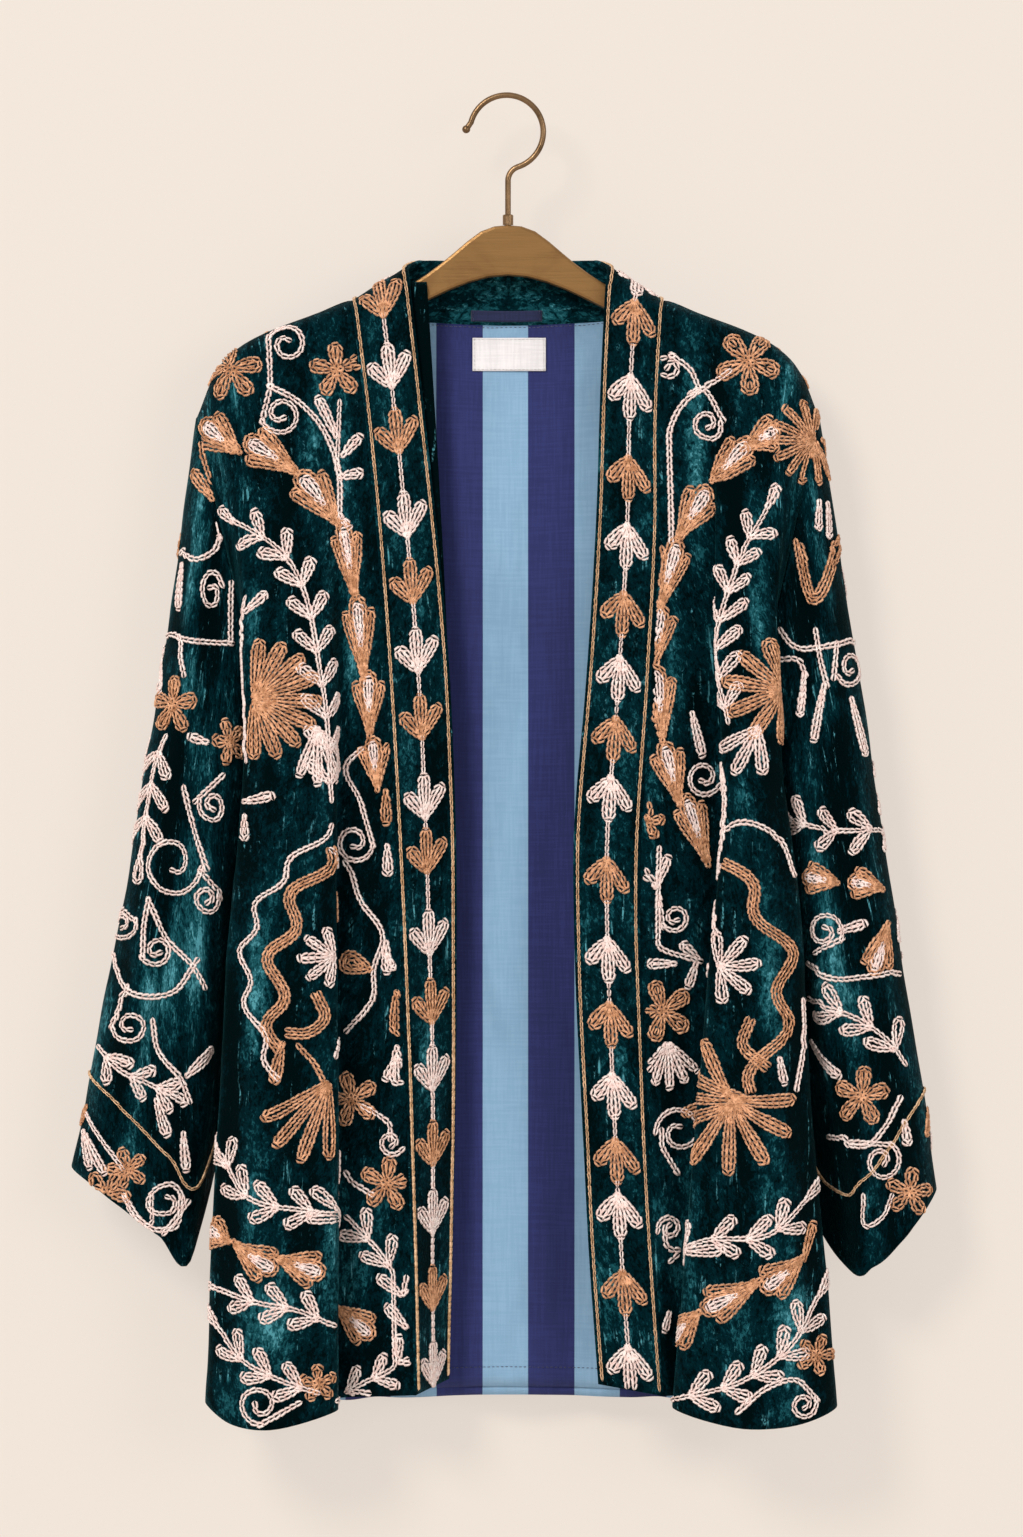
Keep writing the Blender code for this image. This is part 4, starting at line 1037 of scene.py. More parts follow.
board_brass = metal("board_brass", (0.285, 0.151, 0.052), (0.165, 0.080, 0.025), 0.42, 0.5, 0.75)
hook_brass = metal("hook_brass", (0.27, 0.165, 0.085), (0.045, 0.022, 0.008), 0.36, 0.8, 0.9)
print("metals:", board_brass.name, hook_brass.name)

# %% [markdown]
# ## Thin shells of cloth
#
# Each panel becomes a mesh of four-sided faces with its own map in metres, so a weave has the same size
# everywhere. Solidify gives it a thickness and lets the inner face take the striped lining. The fold
# attribute goes along for the velvet's crests and troughs, which are painted lighter and darker as painted
# highlight and painted shade. Every shell replaces the solid of its name.

# %% Making the shells
FOLD_RANGE, LABEL_WALL = 6, 0.8
jacket = bpy.data.collections.new("jacket")
bpy.context.scene.collection.children.link(jacket)


def new_mesh(name, points, edges, faces):
    """A mesh from points in millimetres."""
    mesh = bpy.data.meshes.new(name)
    mesh.from_pydata((np.reshape(points, (-1, 3)) * MM).tolist(), edges, faces)
    return mesh


def in_jacket(name, data):
    made = bpy.data.objects.new(name, data)
    jacket.objects.link(made)
    return made


def cloth_map(panel, straight=0):
    """How far each point is across and down its cloth, in millimetres, from the panel's middle column.

    Up to straight millimetres from the middle, the stripes hang plumb: across is then simply x. A closed
    panel gets one more column, for the way back to its first one."""
    points = panel["points"]
    middle = points.shape[1] // 2
    steps = np.linalg.norm(np.diff(points, axis=1), axis=2)
    near = np.abs(points[:, 1:, 0] + points[:, :-1, 0]) / 2 < straight
    steps = np.where(near, np.abs(np.diff(points[..., 0], axis=1)), steps)
    over = np.concatenate([np.zeros((len(points), 1)), np.cumsum(steps, axis=1)], axis=1)
    over = over - over[:, middle : middle + 1]
    if panel["closed"]:
        last = np.linalg.norm(points[:, 0] - points[:, -1], axis=1)
        over = np.concatenate([over, over[:, -1:] + last[:, None]], axis=1)
    rows = np.linalg.norm(np.diff(points, axis=0), axis=2).mean(1)
    down = np.concatenate([[0], np.cumsum(rows)])
    return over, down


def shell(name, finishes, wall=None, straight=0):
    """A cloth shell from a panel. finishes are the outer face's material and the inner one's."""
    panel = panels[name]
    points, normals = panel["points"], panel["normals"]
    count_down, count_over = points.shape[:2]
    over, down = cloth_map(panel, straight)
    if straight:
        turned = np.sign(points[0, -1, 0] - points[0, 0, 0])
        over = points[:, over.shape[1] // 2, 0][:, None] + turned * over
    faces, places = [], []
    for r in range(count_down - 1):
        for c in range(count_over if panel["closed"] else count_over - 1):
            beside = (c + 1) % count_over
            faces.append((r * count_over + c, (r + 1) * count_over + c,
                          (r + 1) * count_over + beside, r * count_over + beside))
            places.append(((r, c), (r + 1, c), (r + 1, c + 1), (r, c + 1)))
    first = points.reshape(-1, 3)[list(faces[len(faces) // 2])]
    facing = np.cross(first[1] - first[0], first[3] - first[0])
    if facing @ normals.reshape(-1, 3)[faces[len(faces) // 2][0]] < 0:
        faces = [face[::-1] for face in faces]
        places = [place[::-1] for place in places]
    mesh = new_mesh(name, points, [], faces)
    flat = [(over[r, c] * MM, -down[r] * MM) for corners in places for r, c in corners]
    mesh.uv_layers.new(name="cloth").data.foreach_set("uv", np.ravel(flat))
    relief = panel.get("relief", np.zeros(points.shape[:2]))
    fold = mesh.attributes.new("fold", "FLOAT", "POINT")
    fold.data.foreach_set("value", np.clip(0.5 + relief / FOLD_RANGE, 0, 1).ravel())
    mesh.shade_smooth()
    for finish in finishes:
        mesh.materials.append(finish)
    made = in_jacket(f"{name}_cloth", mesh)
    thick = made.modifiers.new("thickness", "SOLIDIFY")
    thick.thickness = (wall or panel["wall"]) * MM
    thick.offset = 0
    thick.material_offset = len(finishes) - 1
    thick.material_offset_rim = 0
    area = sum(face.area for face in mesh.polygons)
    mean_width = area / (down[-1] * MM) / MM
    print(f"{name}: {len(faces)} faces, {area:.4f} m2, on average {mean_width:.0f} by {down[-1]:.0f} mm")
    return made


PLUMB_REACH = 130
shells = {}
for name in ("back", "front_left", "front_right", "sleeve_left", "sleeve_right"):
    shells[name] = shell(name, [velvet_cloth, lining_cloth], straight=PLUMB_REACH if name == "back" else 0)
for name in ("band_left", "band_right"):
    shells[name] = shell(name, [band_velvet])
shells["lining_back"] = shell("lining_back", [lining_cloth], straight=PLUMB_REACH)
shells["label"] = shell("label", [label_cloth], wall=LABEL_WALL)
shells["hanging_loop"] = shell("hanging_loop", [loop_cloth])

# %% [markdown]
# ## How a chain stitch is made
#
# The needle comes up inside the last loop, so a chain stitch is a row of drop-shaped links. Drawing each
# by hand is hopeless with thousands of them. Geometry Nodes do it: the drawn rows become curves, the
# curves get a point for every stitch, and a link of two thin strands is set on each, turned along the
# row and laid flat on the cloth by the normal that the row carries.

# %% The link, a running stitch and the sewing tree
LINK_LENGTH, LINK_WIDTH, STRAND = 6.2, 3.7, 0.85
STRAND_OVERLAP = 0.82
LINK_SPACING, LINK_TURN, LINK_GROWTH = 4.1, 0.12, 0.10
SEWING_SEED = 7
DASH, DASH_THICKNESS = [(-1.1, 0, -0.15), (-0.6, 0, 0.12), (0.6, 0, 0.12), (1.1, 0, -0.15)], 0.28


def strand_mesh(name, lines, thickness):
    """Thin strands, each a three-sided rod through a few places, with pointed ends."""
    points, faces = [], []
    for line in lines:
        first = len(points)
        line = np.array(line, float)
        points.append(line[0])
        for place in line[1:-1]:
            for turn in (pi / 2, pi / 2 + 2 * pi / 3, pi / 2 + 4 * pi / 3):
                points.append(place + thickness * np.array([0, cos(turn), sin(turn)]))
        points.append(line[-1])
        rings = [first + 1 + 3 * k for k in range(len(line) - 2)]
        last = len(points) - 1
        for k in range(3):
            n = (k + 1) % 3
            faces.append((first, rings[0] + n, rings[0] + k))
            faces += [(a + k, a + n, b + n, b + k) for a, b in zip(rings, rings[1:])]
            faces.append((rings[-1] + k, rings[-1] + n, last))
    mesh = new_mesh(name, points, [], faces)
    tidy = bmesh.new()
    tidy.from_mesh(mesh)
    bmesh.ops.recalc_face_normals(tidy, faces=tidy.faces)
    tidy.to_mesh(mesh)
    tidy.free()
    mesh.shade_smooth()
    return bpy.data.objects.new(name, mesh)


half, wide = LINK_LENGTH / 2, LINK_WIDTH / 2 - STRAND * STRAND_OVERLAP
link = strand_mesh("chain_link", [
    [(-half, 0, 0.0), (-half * 0.55, side * wide * 0.66, 0.3), (0, side * wide * 0.96, 0.4),
     (half * 0.55, side * wide, 0.4), (half, side * 0.25, 0.5)] for side in (-1, 1)], STRAND)
dash = strand_mesh("running_stitch", [DASH], DASH_THICKNESS)


def sewing_tree():
    """A tree that makes curves of drawn rows and sets a stitch at every step, turned along its row."""
    tree, given, out = group_tree(
        "sew_along_rows",
        {"Geometry": ("Geometry", None), "Stitch": ("Object", None), "Spacing": ("Float", LINK_SPACING * MM),
         "Turn": ("Float", LINK_TURN), "Growth": ("Float", LINK_GROWTH), "Seed": ("Int", SEWING_SEED),
         "Thread": ("Material", None)},
        {"Geometry": ("Geometry", None)}, "GeometryNodeTree")

    def add(kind, inputs, output=0, **settings):
        return node(tree, kind, settings, inputs).outputs[output]

    curve = add("GeometryNodeMeshToCurve", {"Mesh": given["Geometry"]})
    points = add("GeometryNodeResampleCurve", {"Curve": curve, "Length": given["Spacing"]}, mode="LENGTH")
    up = add("GeometryNodeInputNamedAttribute", {"Name": "up"}, data_type="FLOAT_VECTOR")
    width = add("GeometryNodeInputNamedAttribute", {"Name": "width"}, data_type="FLOAT")
    turn = add("FunctionNodeAxesToRotation",
               {"Primary Axis": up, "Secondary Axis": add("GeometryNodeInputTangent", {})},
               primary_axis="Z", secondary_axis="X")
    sway = add("FunctionNodeRandomValue",
               {2: times(tree, given["Turn"], -1.0), 3: given["Turn"], "Seed": given["Seed"]}, 1,
               data_type="FLOAT")
    spin = add("FunctionNodeEulerToRotation", {"Euler": add("ShaderNodeCombineXYZ", {"Z": sway})})
    turned = add("FunctionNodeRotateRotation", {"Rotation": turn, "Rotate By": spin}, rotation_space="LOCAL")
    small = math(tree, "SUBTRACT", 1.0, given["Growth"])
    large = plus(tree, 1.0, given["Growth"])
    growth = add("FunctionNodeRandomValue", {2: small, 3: large, "Seed": given["Seed"]}, 1,
                 data_type="FLOAT")
    size = add("ShaderNodeCombineXYZ", {"X": growth, "Y": times(tree, growth, width), "Z": 1.0})
    stitch = add("GeometryNodeObjectInfo", {"Object": given["Stitch"]}, "Geometry")
    placed = add("GeometryNodeInstanceOnPoints",
                 {"Points": points, "Instance": stitch, "Rotation": turned, "Scale": size})
    real = add("GeometryNodeRealizeInstances", {"Geometry": placed})
    real = add("GeometryNodeSetMaterial", {"Geometry": real, "Material": given["Thread"]})
    tree.links.new(real, out[0])
    return tree


sewing = sewing_tree()
print("sewing tree:", len(sewing.nodes), "nodes")


def sew_rows(name, rows, stitch, finish, spacing=LINK_SPACING, turn=LINK_TURN, growth=LINK_GROWTH):
    """Sews every row of one colour on one panel: rows are (points, normals, width share)."""
    points = np.concatenate([row[0] for row in rows])
    ups = np.concatenate([row[1] for row in rows])
    widths = np.concatenate([np.full(len(row[0]), row[2]) for row in rows])
    edges, first = [], 0
    for row in rows:
        edges += [(first + k, first + k + 1) for k in range(len(row[0]) - 1)]
        first += len(row[0])
    mesh = new_mesh(name, points, edges, [])
    mesh.attributes.new("up", "FLOAT_VECTOR", "POINT").data.foreach_set("vector", ups.ravel())
    mesh.attributes.new("width", "FLOAT", "POINT").data.foreach_set("value", widths)
    made = in_jacket(name, mesh)
    sewn = made.modifiers.new("sewing", "NODES")
    sewn.node_group = sewing
    for item in sewing.interface.items_tree:
        chosen = {"Stitch": stitch, "Spacing": spacing * MM, "Turn": turn, "Growth": growth,
                  "Thread": finish}.get(item.name)
        if item.in_out == "INPUT" and chosen is not None:
            sewn[item.identifier] = chosen
    graph = bpy.context.evaluated_depsgraph_get()
    real = bpy.data.meshes.new_from_object(made.evaluated_get(graph))
    made.modifiers.remove(sewn)
    made.data = real
    real.name = name
    bpy.data.meshes.remove(mesh)
    return made


# %% [markdown]
# ## Laying a design on the cloth
#
# A motif is drawn flat and then laid on the cloth's own chart, so it keeps its shape where the cloth
# turns away, and it bends over each fold. A place is found by looking straight at the jacket, as a
# maker marks it with chalk. Long stems are marked point by point, and they dip into the folds they cross.

# %% From the picture to the cloth's chart
FILL_WIDTH, STEM_WIDTH = 1.15, 1.18
ROW_GAP, ROW_INSET = 4.1, 2.1
LIFT = 0.35
REACH = 6.0
STEP = 2.2
DOWN_REACH, OVER_REACH = 2, 3
LEAST_STRETCH, MOST_STRETCH = 0.7, 2.2
# Finding a spot: how much nearness counts against being in front, what counts as edge-on cloth and how far
# that is turned to the viewer, and how many cells a spot may move from its nearest grid point
NEARNESS, EDGE_ON, EDGE_ON_TURN, MOST_MOVE = 0.8, 0.02, 0.1, 1.5
# A row is cut this many cells from the cloth's edge, and where it would leap over a fold
EDGE_CELLS, MOST_LEAP = 0.4, 14
charts = {}


def chart_of(panel):
    if panel["name"] not in charts:
        charts[panel["name"]] = cloth_map(panel)
    return charts[panel["name"]]


def spot(panel, x, z, face):
    """Where the cloth's visible place at x, z is on its chart, and how the picture lies there.

    Gives a row, a column, a 2 x 2 matrix that turns millimetres right and up, as seen from the front,
    into millimetres down and across the chart, and how far x, z lies off the cloth, if it does."""
    points = panel["points"]
    away = np.hypot(points[..., 0] - x, points[..., 2] - z)
    limit = max(REACH, away.min() + 0.01)
    score = np.where(away <= limit, -face * points[..., 1] + NEARNESS * away, np.inf)
    r, c = np.unravel_index(np.argmin(score), score.shape)
    count_down, count_over = away.shape
    r = int(np.clip(r, DOWN_REACH, count_down - 1 - DOWN_REACH))
    c = int(c) if panel["closed"] else int(np.clip(c, OVER_REACH, count_over - 1 - OVER_REACH))
    down_step = (points[r + DOWN_REACH, c] - points[r - DOWN_REACH, c]) / (2 * DOWN_REACH)
    beyond, before = points[r, (c + OVER_REACH) % count_over], points[r, (c - OVER_REACH) % count_over]
    over_step = (beyond - before) / (2 * OVER_REACH)
    square = np.array([[down_step[0], over_step[0]], [down_step[2], over_step[2]]])
    if abs(np.linalg.det(square)) < EDGE_ON * np.linalg.norm(down_step) * np.linalg.norm(over_step):
        square += EDGE_ON_TURN * np.linalg.norm(over_step) * np.array([[0, 1], [-1, 0]])
    steps = np.linalg.inv(square)
    wanted = steps @ (x - points[r, c, 0], z - points[r, c, 2])
    move = np.clip(wanted, -MOST_MOVE, MOST_MOVE)
    down = chart_of(panel)[1]
    down_scale = (down[r + DOWN_REACH] - down[r - DOWN_REACH]) / (2 * DOWN_REACH)
    left, sizes, right = np.linalg.svd(np.diag([down_scale, np.linalg.norm(over_step)]) @ steps)
    matrix = left @ np.diag(np.clip(sizes, LEAST_STRETCH, MOST_STRETCH)) @ right
    return r + move[0], c + move[1], matrix, square @ (wanted - move)


def chart_places(panel, at, drawing):
    """Rows and columns of a flat drawing that is laid with its origin at a spot."""
    over, down = chart_of(panel)
    row, column, matrix, off = at
    v, u = matrix @ (np.asarray(drawing, float) + off).T
    indexes = np.arange(len(down))
    rows = np.interp(np.interp(row, indexes, down) + v, down, indexes, left=-1, right=len(down))
    columns = []
    for r, du in zip(rows, u):
        near = over[int(np.clip(round(r), 0, len(down) - 1))]
        places = np.arange(len(near))
        start = np.interp(column % (len(near) - 1) if panel["closed"] else column, places, near)
        reached = start + du
        if panel["closed"]:
            reached = near[0] + (reached - near[0]) % (near[-1] - near[0])
        columns.append(np.interp(reached, near, places, left=-1, right=len(near)))
    return rows, np.array(columns)


threadwork = {}


def lay(panel, colour, width, rows, columns):
    """Keeps a row of stitches on the cloth's outer face, cut where it leaves the cloth."""
    count_down, count_over = panel["points"].shape[:2]
    inside = (rows > EDGE_CELLS) & (rows < count_down - 1 - EDGE_CELLS)
    if not panel["closed"]:
        inside &= (columns > EDGE_CELLS) & (columns < count_over - 1 - EDGE_CELLS)
    points, normals = sample(panel, rows, columns)
    points = points + normals * (panel["wall"] / 2 + LIFT)
    jumps = np.linalg.norm(np.diff(points, axis=0), axis=1)
    start = 0
    for k in range(len(rows) + 1):
        broken = k == len(rows) or not inside[k] or (k > start and jumps[k - 1] > MOST_LEAP)
        if not broken:
            continue
        if k - start >= 2:
            kept = threadwork.setdefault((panel["name"], colour), [])
            kept.append((points[start:k], normals[start:k], width))
        start = k if k < len(rows) and inside[k] else k + 1


def draw(panel, colour, width, at, rows):
    """Lays flat rows, drawn round a spot, on the cloth."""
    for row in rows:
        lay(panel, colour, width, *chart_places(panel, at, row))


def draw_line(panel, colour, width, line, face, beside=0.0):
    """Lays a long line through places that are each found on the cloth, moved sideways by beside."""
    line = smooth_line(line)
    if beside:
        run = np.gradient(line, axis=0)
        run /= np.linalg.norm(run, axis=1, keepdims=True)
        line = line + beside * np.stack([-run[:, 1], run[:, 0]], 1)
    spots = [spot(panel, x, z, face) for x, z in line]
    rows, columns = np.array([s[0] for s in spots]), np.array([s[1] for s in spots], float)
    if panel["closed"]:
        columns = np.unwrap(columns, period=panel["points"].shape[1])
    lay(panel, colour, width, rows, columns)


def smooth_line(line, step=STEP):
    """A smooth line through a few points, with a point every few millimetres."""
    line = np.array(line, float)
    keys = np.concatenate([[0], np.cumsum(np.linalg.norm(np.diff(line, axis=0), axis=1))])
    return smooth(keys, line, np.linspace(0, keys[-1], max(3, int(keys[-1] / step) + 1)))


print("charts ready")

# %% [markdown]
# ## The maker's motifs
#
# The jacket's embroidery is made of a few ordinary shapes: petals filled with nested rows, five-petalled
# flowers, daisies and palmettes, pointed tulips in a garland, sprigs with leaf pairs, scrolls and waves.
# Each is a short function here that gives the rows of one motif, so it can be set anywhere in any size.

# %% Petals, flowers and leaves
# A petal is rounded by a power of a sine, and fuller towards its tip
PETAL_ROUNDING, PETAL_BASE, PETAL_FULLER = 0.7, 0.32, 0.86
STITCHES_APART = 2.4
# Its nested rings: the least half width of the first and of any other, how much each millimetre of inset
# takes from the length in all, at the base and at the tip, and the least length that is left
FIRST_RING, NEXT_RING, RING_SHORTENS, RING_BASE, RING_TIP, LEAST_LENGTH = 0.8, 2.0, 2.2, 1.6, 0.9, 3
# The straight row in its middle: how far the last ring may overlap it, its start and its stitches
MIDDLE_OVERLAP, MIDDLE_BASE, MIDDLE_STITCHES = 0.7, 1.2, 6
# Each motif's petals as shares of its size or reach: where they start, where they end, and their width
FLOWER_PETAL, DAISY_PETAL = (0.08, 1.14, 0.72), (-0.48, 0.5, 0.82)
TULIP_BACK, TULIP_HEART, TULIP_LIP = (-0.5, 0.6, 0.90), (-0.42, 0.0, 0.36), (-0.06, 0.50, 0.56)
TULIP_SIDE, TULIP_SIDE_OUT = (-0.40, 0.42, 0.54), 0.58
SPRIG_LEAF, SPRIG_TIP, SPRIG_EVERY, LEAF_LEAN = (0.8, 1.3, 0.60), 1.25, 1.3, 0.68
# A spiral's radius shrinks by these shares of its turn and of its square
SPIRAL_IN, SPIRAL_CLOSER, SPIRAL_STITCHES = 0.40, 0.38, 2.2


def quarter_turn(way):
    return np.array([-way[1], way[0]])


def petal(base, tip, width):
    """Nested teardrop rows from base to tip."""
    base, tip = np.array(base, float), np.array(tip, float)
    length = np.linalg.norm(tip - base)
    along = unit(tip - base)
    beside = quarter_turn(along)
    rows, inset, least = [], ROW_INSET, FIRST_RING
    while width / 2 - inset > least and length - RING_SHORTENS * inset > LEAST_LENGTH:
        half, least = width / 2 - inset, NEXT_RING
        start, end = RING_BASE * inset - ROW_INSET, length - RING_TIP * inset
        t = np.linspace(0, pi, max(7, int((end - start) / STITCHES_APART)))
        share = (1 - np.cos(t)) / 2
        bulge = half * np.sin(t) ** PETAL_ROUNDING * (PETAL_BASE + PETAL_FULLER * share)
        side = base + np.outer(start + (end - start) * share, along)
        rows.append(np.concatenate([side + np.outer(bulge, beside), (side - np.outer(bulge, beside))[::-1]]))
        inset += ROW_GAP
    if width / 2 - inset > -MIDDLE_OVERLAP and length > RING_SHORTENS * inset + LEAST_LENGTH:
        ends = base + np.outer([MIDDLE_BASE * inset, length - inset - 1.0], along)
        rows.append(np.linspace(*ends, MIDDLE_STITCHES))
    return rows


def put_petal(panel, colour, at, *shape, rings=None):
    """Lays one petal round a spot: all its nested rows, or the outer rings only."""
    draw(panel, colour, FILL_WIDTH, at, petal(*shape)[:rings])


def whorl(radius, turns, start, hand):
    """A flat spiral row round the origin."""
    t = np.linspace(0, 1, max(8, int(turns * radius * SPIRAL_STITCHES)))
    reach = radius * (1 - SPIRAL_IN * t - SPIRAL_CLOSER * t * t)
    angle = start + hand * 2 * pi * turns * t
    return np.stack([reach * np.cos(angle), reach * np.sin(angle)], 1)


def flower(panel, face, colour, size, points, petals=5):
    """Flowers with round petals, one at each point."""
    start, end, wide = FLOWER_PETAL
    for x, z in points:
        at = spot(panel, x, z, face)
        turn = (7 * x + 3 * z) % 1.2
        for k in range(petals):
            way = np.array([cos(turn + 2 * pi * k / petals), sin(turn + 2 * pi * k / petals)])
            put_petal(panel, colour, at, start * size * way, end * size * way, wide * size)


def daisy(panel, face, colour, size, points):
    """A fan of petals from the first point to each of the others; size is a petal's width."""
    start, end, wide = DAISY_PETAL
    centre, tips = np.array(points[0], float), np.array(points[1:], float)
    for reach in tips - centre:
        at = spot(panel, *(centre + 0.5 * reach), face)
        put_petal(panel, colour, at, start * reach, end * reach, wide * size)


def fan(panel, face, colour, size, values):
    """A palmette: its heart, how many petals it has and how long they are, and the angles that it spans."""
    heart, (count, reach), (first, last) = values
    turns = np.radians(np.linspace(first, last, count))
    fuller = reach * (0.9 + 0.1 * np.sin(np.linspace(0, pi, count)))
    tips = np.stack([np.cos(turns), np.sin(turns)], 1) * fuller[:, None] + heart
    daisy(panel, face, colour, size, [heart, *tips])


def leaf(panel, face, colour, size, points):
    """Leaves from a base to a tip, given in pairs of points; size is the width."""
    for base, tip in zip(points[::2], points[1::2]):
        half = np.subtract(tip, base) / 2
        put_petal(panel, colour, spot(panel, *(base + half), face), -half, half, size)


def stem(panel, face, colour, size, points):
    draw_line(panel, colour, STEM_WIDTH * size, points, face)


def vine(panel, face, colour, size, points):
    """A thick wavy line of several rows side by side."""
    for k in range(size):
        draw_line(panel, colour, FILL_WIDTH, points, face, (k - (size - 1) / 2) * ROW_GAP)


def wave(panel, face, colour, size, values):
    """A wavy line of size rows between two points, with its waves, their height and how far it bows out."""
    start, end = np.array(values[:2], float)
    waves, height, bow = values[2]
    beside = quarter_turn(end - start) / np.linalg.norm(end - start)
    t = np.linspace(0, 1, 8 * waves + 1)[:, None]
    aside = bow * np.sin(pi * t) + height * np.sin(2 * pi * waves * t)
    line = start + t * (end - start) + aside * beside
    if size == 1:
        stem(panel, face, colour, 1, line)
    else:
        vine(panel, face, colour, size, line)


def sprig(panel, face, colour, size, points):
    """A stem with pairs of leaves along it and one at its tip; size is a leaf's length."""
    draw_line(panel, colour, STEM_WIDTH * 0.9, points, face)
    line = smooth_line(points)
    run = np.gradient(line, axis=0)
    start, end, wide = SPRIG_LEAF
    every = max(2, int(round(SPRIG_EVERY * size / STEP)))
    for k in range(every // 2, len(line) - every // 3, every):
        way = unit(run[k])
        at = spot(panel, *line[k], face)
        for side in (-1, 1):
            turned = way * cos(LEAF_LEAN) + side * sin(LEAF_LEAN) * quarter_turn(way)
            put_petal(panel, colour, at, start * turned, end * size * turned, wide * size)
    tip = SPRIG_TIP * size * unit(run[-1])
    put_petal(panel, colour, spot(panel, *line[-1], face), (0, 0), tip, wide * size)


def scroll(panel, face, colour, size, points):
    """A line that runs from the last point to the first and curls up round it; size is the curl's radius."""
    centre = np.array(points[0], float)
    radius = 1.5 * size
    line = np.array(points[:0:-1], float) if len(points) > 1 else centre + [[0.2 * size, -2 * size]]
    while len(line) > 1 and np.linalg.norm(line[-1] - centre) < 1.7 * radius:
        line = line[:-1]
    way = unit(centre - line[-1])
    beside = quarter_turn(way)
    lean = -np.dot(np.subtract(points[min(1, len(points) - 1)], centre), beside)
    if len(line) > 1 and abs(lean) < 1e-6:
        lean = np.cross(line[-1] - line[-2], way)
    hand = 1 if lean > -1e-6 else -1
    entry = centre - hand * radius * beside
    draw_line(panel, colour, STEM_WIDTH, np.concatenate([line, [entry]]), face)
    start = atan2(entry[1] - centre[1], entry[0] - centre[0])
    draw(panel, colour, STEM_WIDTH * 0.9, spot(panel, *centre, face), [whorl(radius, 1.25, start, hand)])


def tulip(panel, face, colour, size, points):
    """Pointed tulips of a garland, given as head and tail; size is the width."""
    for head, tail in zip(points[::2], points[1::2]):
        reach = np.subtract(head, tail).astype(float)
        at = spot(panel, *(tail + 0.5 * reach), face)
        beside = quarter_turn(unit(reach))
        for (start, end, wide), rings in ((TULIP_BACK, 1), (TULIP_HEART, None)):
            put_petal(panel, colour, at, start * reach, end * reach, wide * size, rings=rings)
        start, end, wide = TULIP_SIDE
        for side in (-1, 1):
            tip = reach * end + side * TULIP_SIDE_OUT * size * beside
            put_petal(panel, colour, at, start * reach, tip, wide * size)
        start, end, wide = TULIP_LIP
        put_petal(panel, PINK, at, start * reach, end * reach, wide * size, rings=1)
        draw(panel, PINK, FILL_WIDTH, at, [np.linspace(0.08 * reach, 0.38 * reach, 6)])


KINDS = {"flower": flower, "daisy": daisy, "fan": fan, "leaf": leaf, "stem": stem, "vine": vine,
         "wave": wave, "sprig": sprig, "scroll": scroll, "tulip": tulip}


def mirrored(kind, values):
    """A motif's values for the jacket's other side, where x, a fan's angles and a wave's bow turn over."""
    if kind == "fan":
        (x, z), petals, (first, last) = values
        return [(-x, z), petals, (180 - first, 180 - last)]
    if kind == "wave":
        (x, z), (end_x, end_z), (waves, height, bow) = values
        return [(-x, z), (-end_x, end_z), (waves, -height, -bow)]
    return [(-x, z) for x, z in values]


def embroider(name, face, motifs, mirror=1):
    panel = panels[name]
    for kind, colour, size, *values in motifs:
        KINDS[kind](panel, face, colour, size, values if mirror == 1 else mirrored(kind, values))


# %% [markdown]
# ## The designs of the fronts and sleeves
#
# Each row is one motif: its kind, its thread, its size and its places, in millimetres out from the
# middle and up. A fan gives its heart, its petals and their reach, and its angles. A wave gives its ends,
# then its waves, their height and its bow. The arrangement follows the real jacket's closely, and the
# shapes come from the rules above. Tables keep a design readable, and a maker can move one flower without
# touching any code.

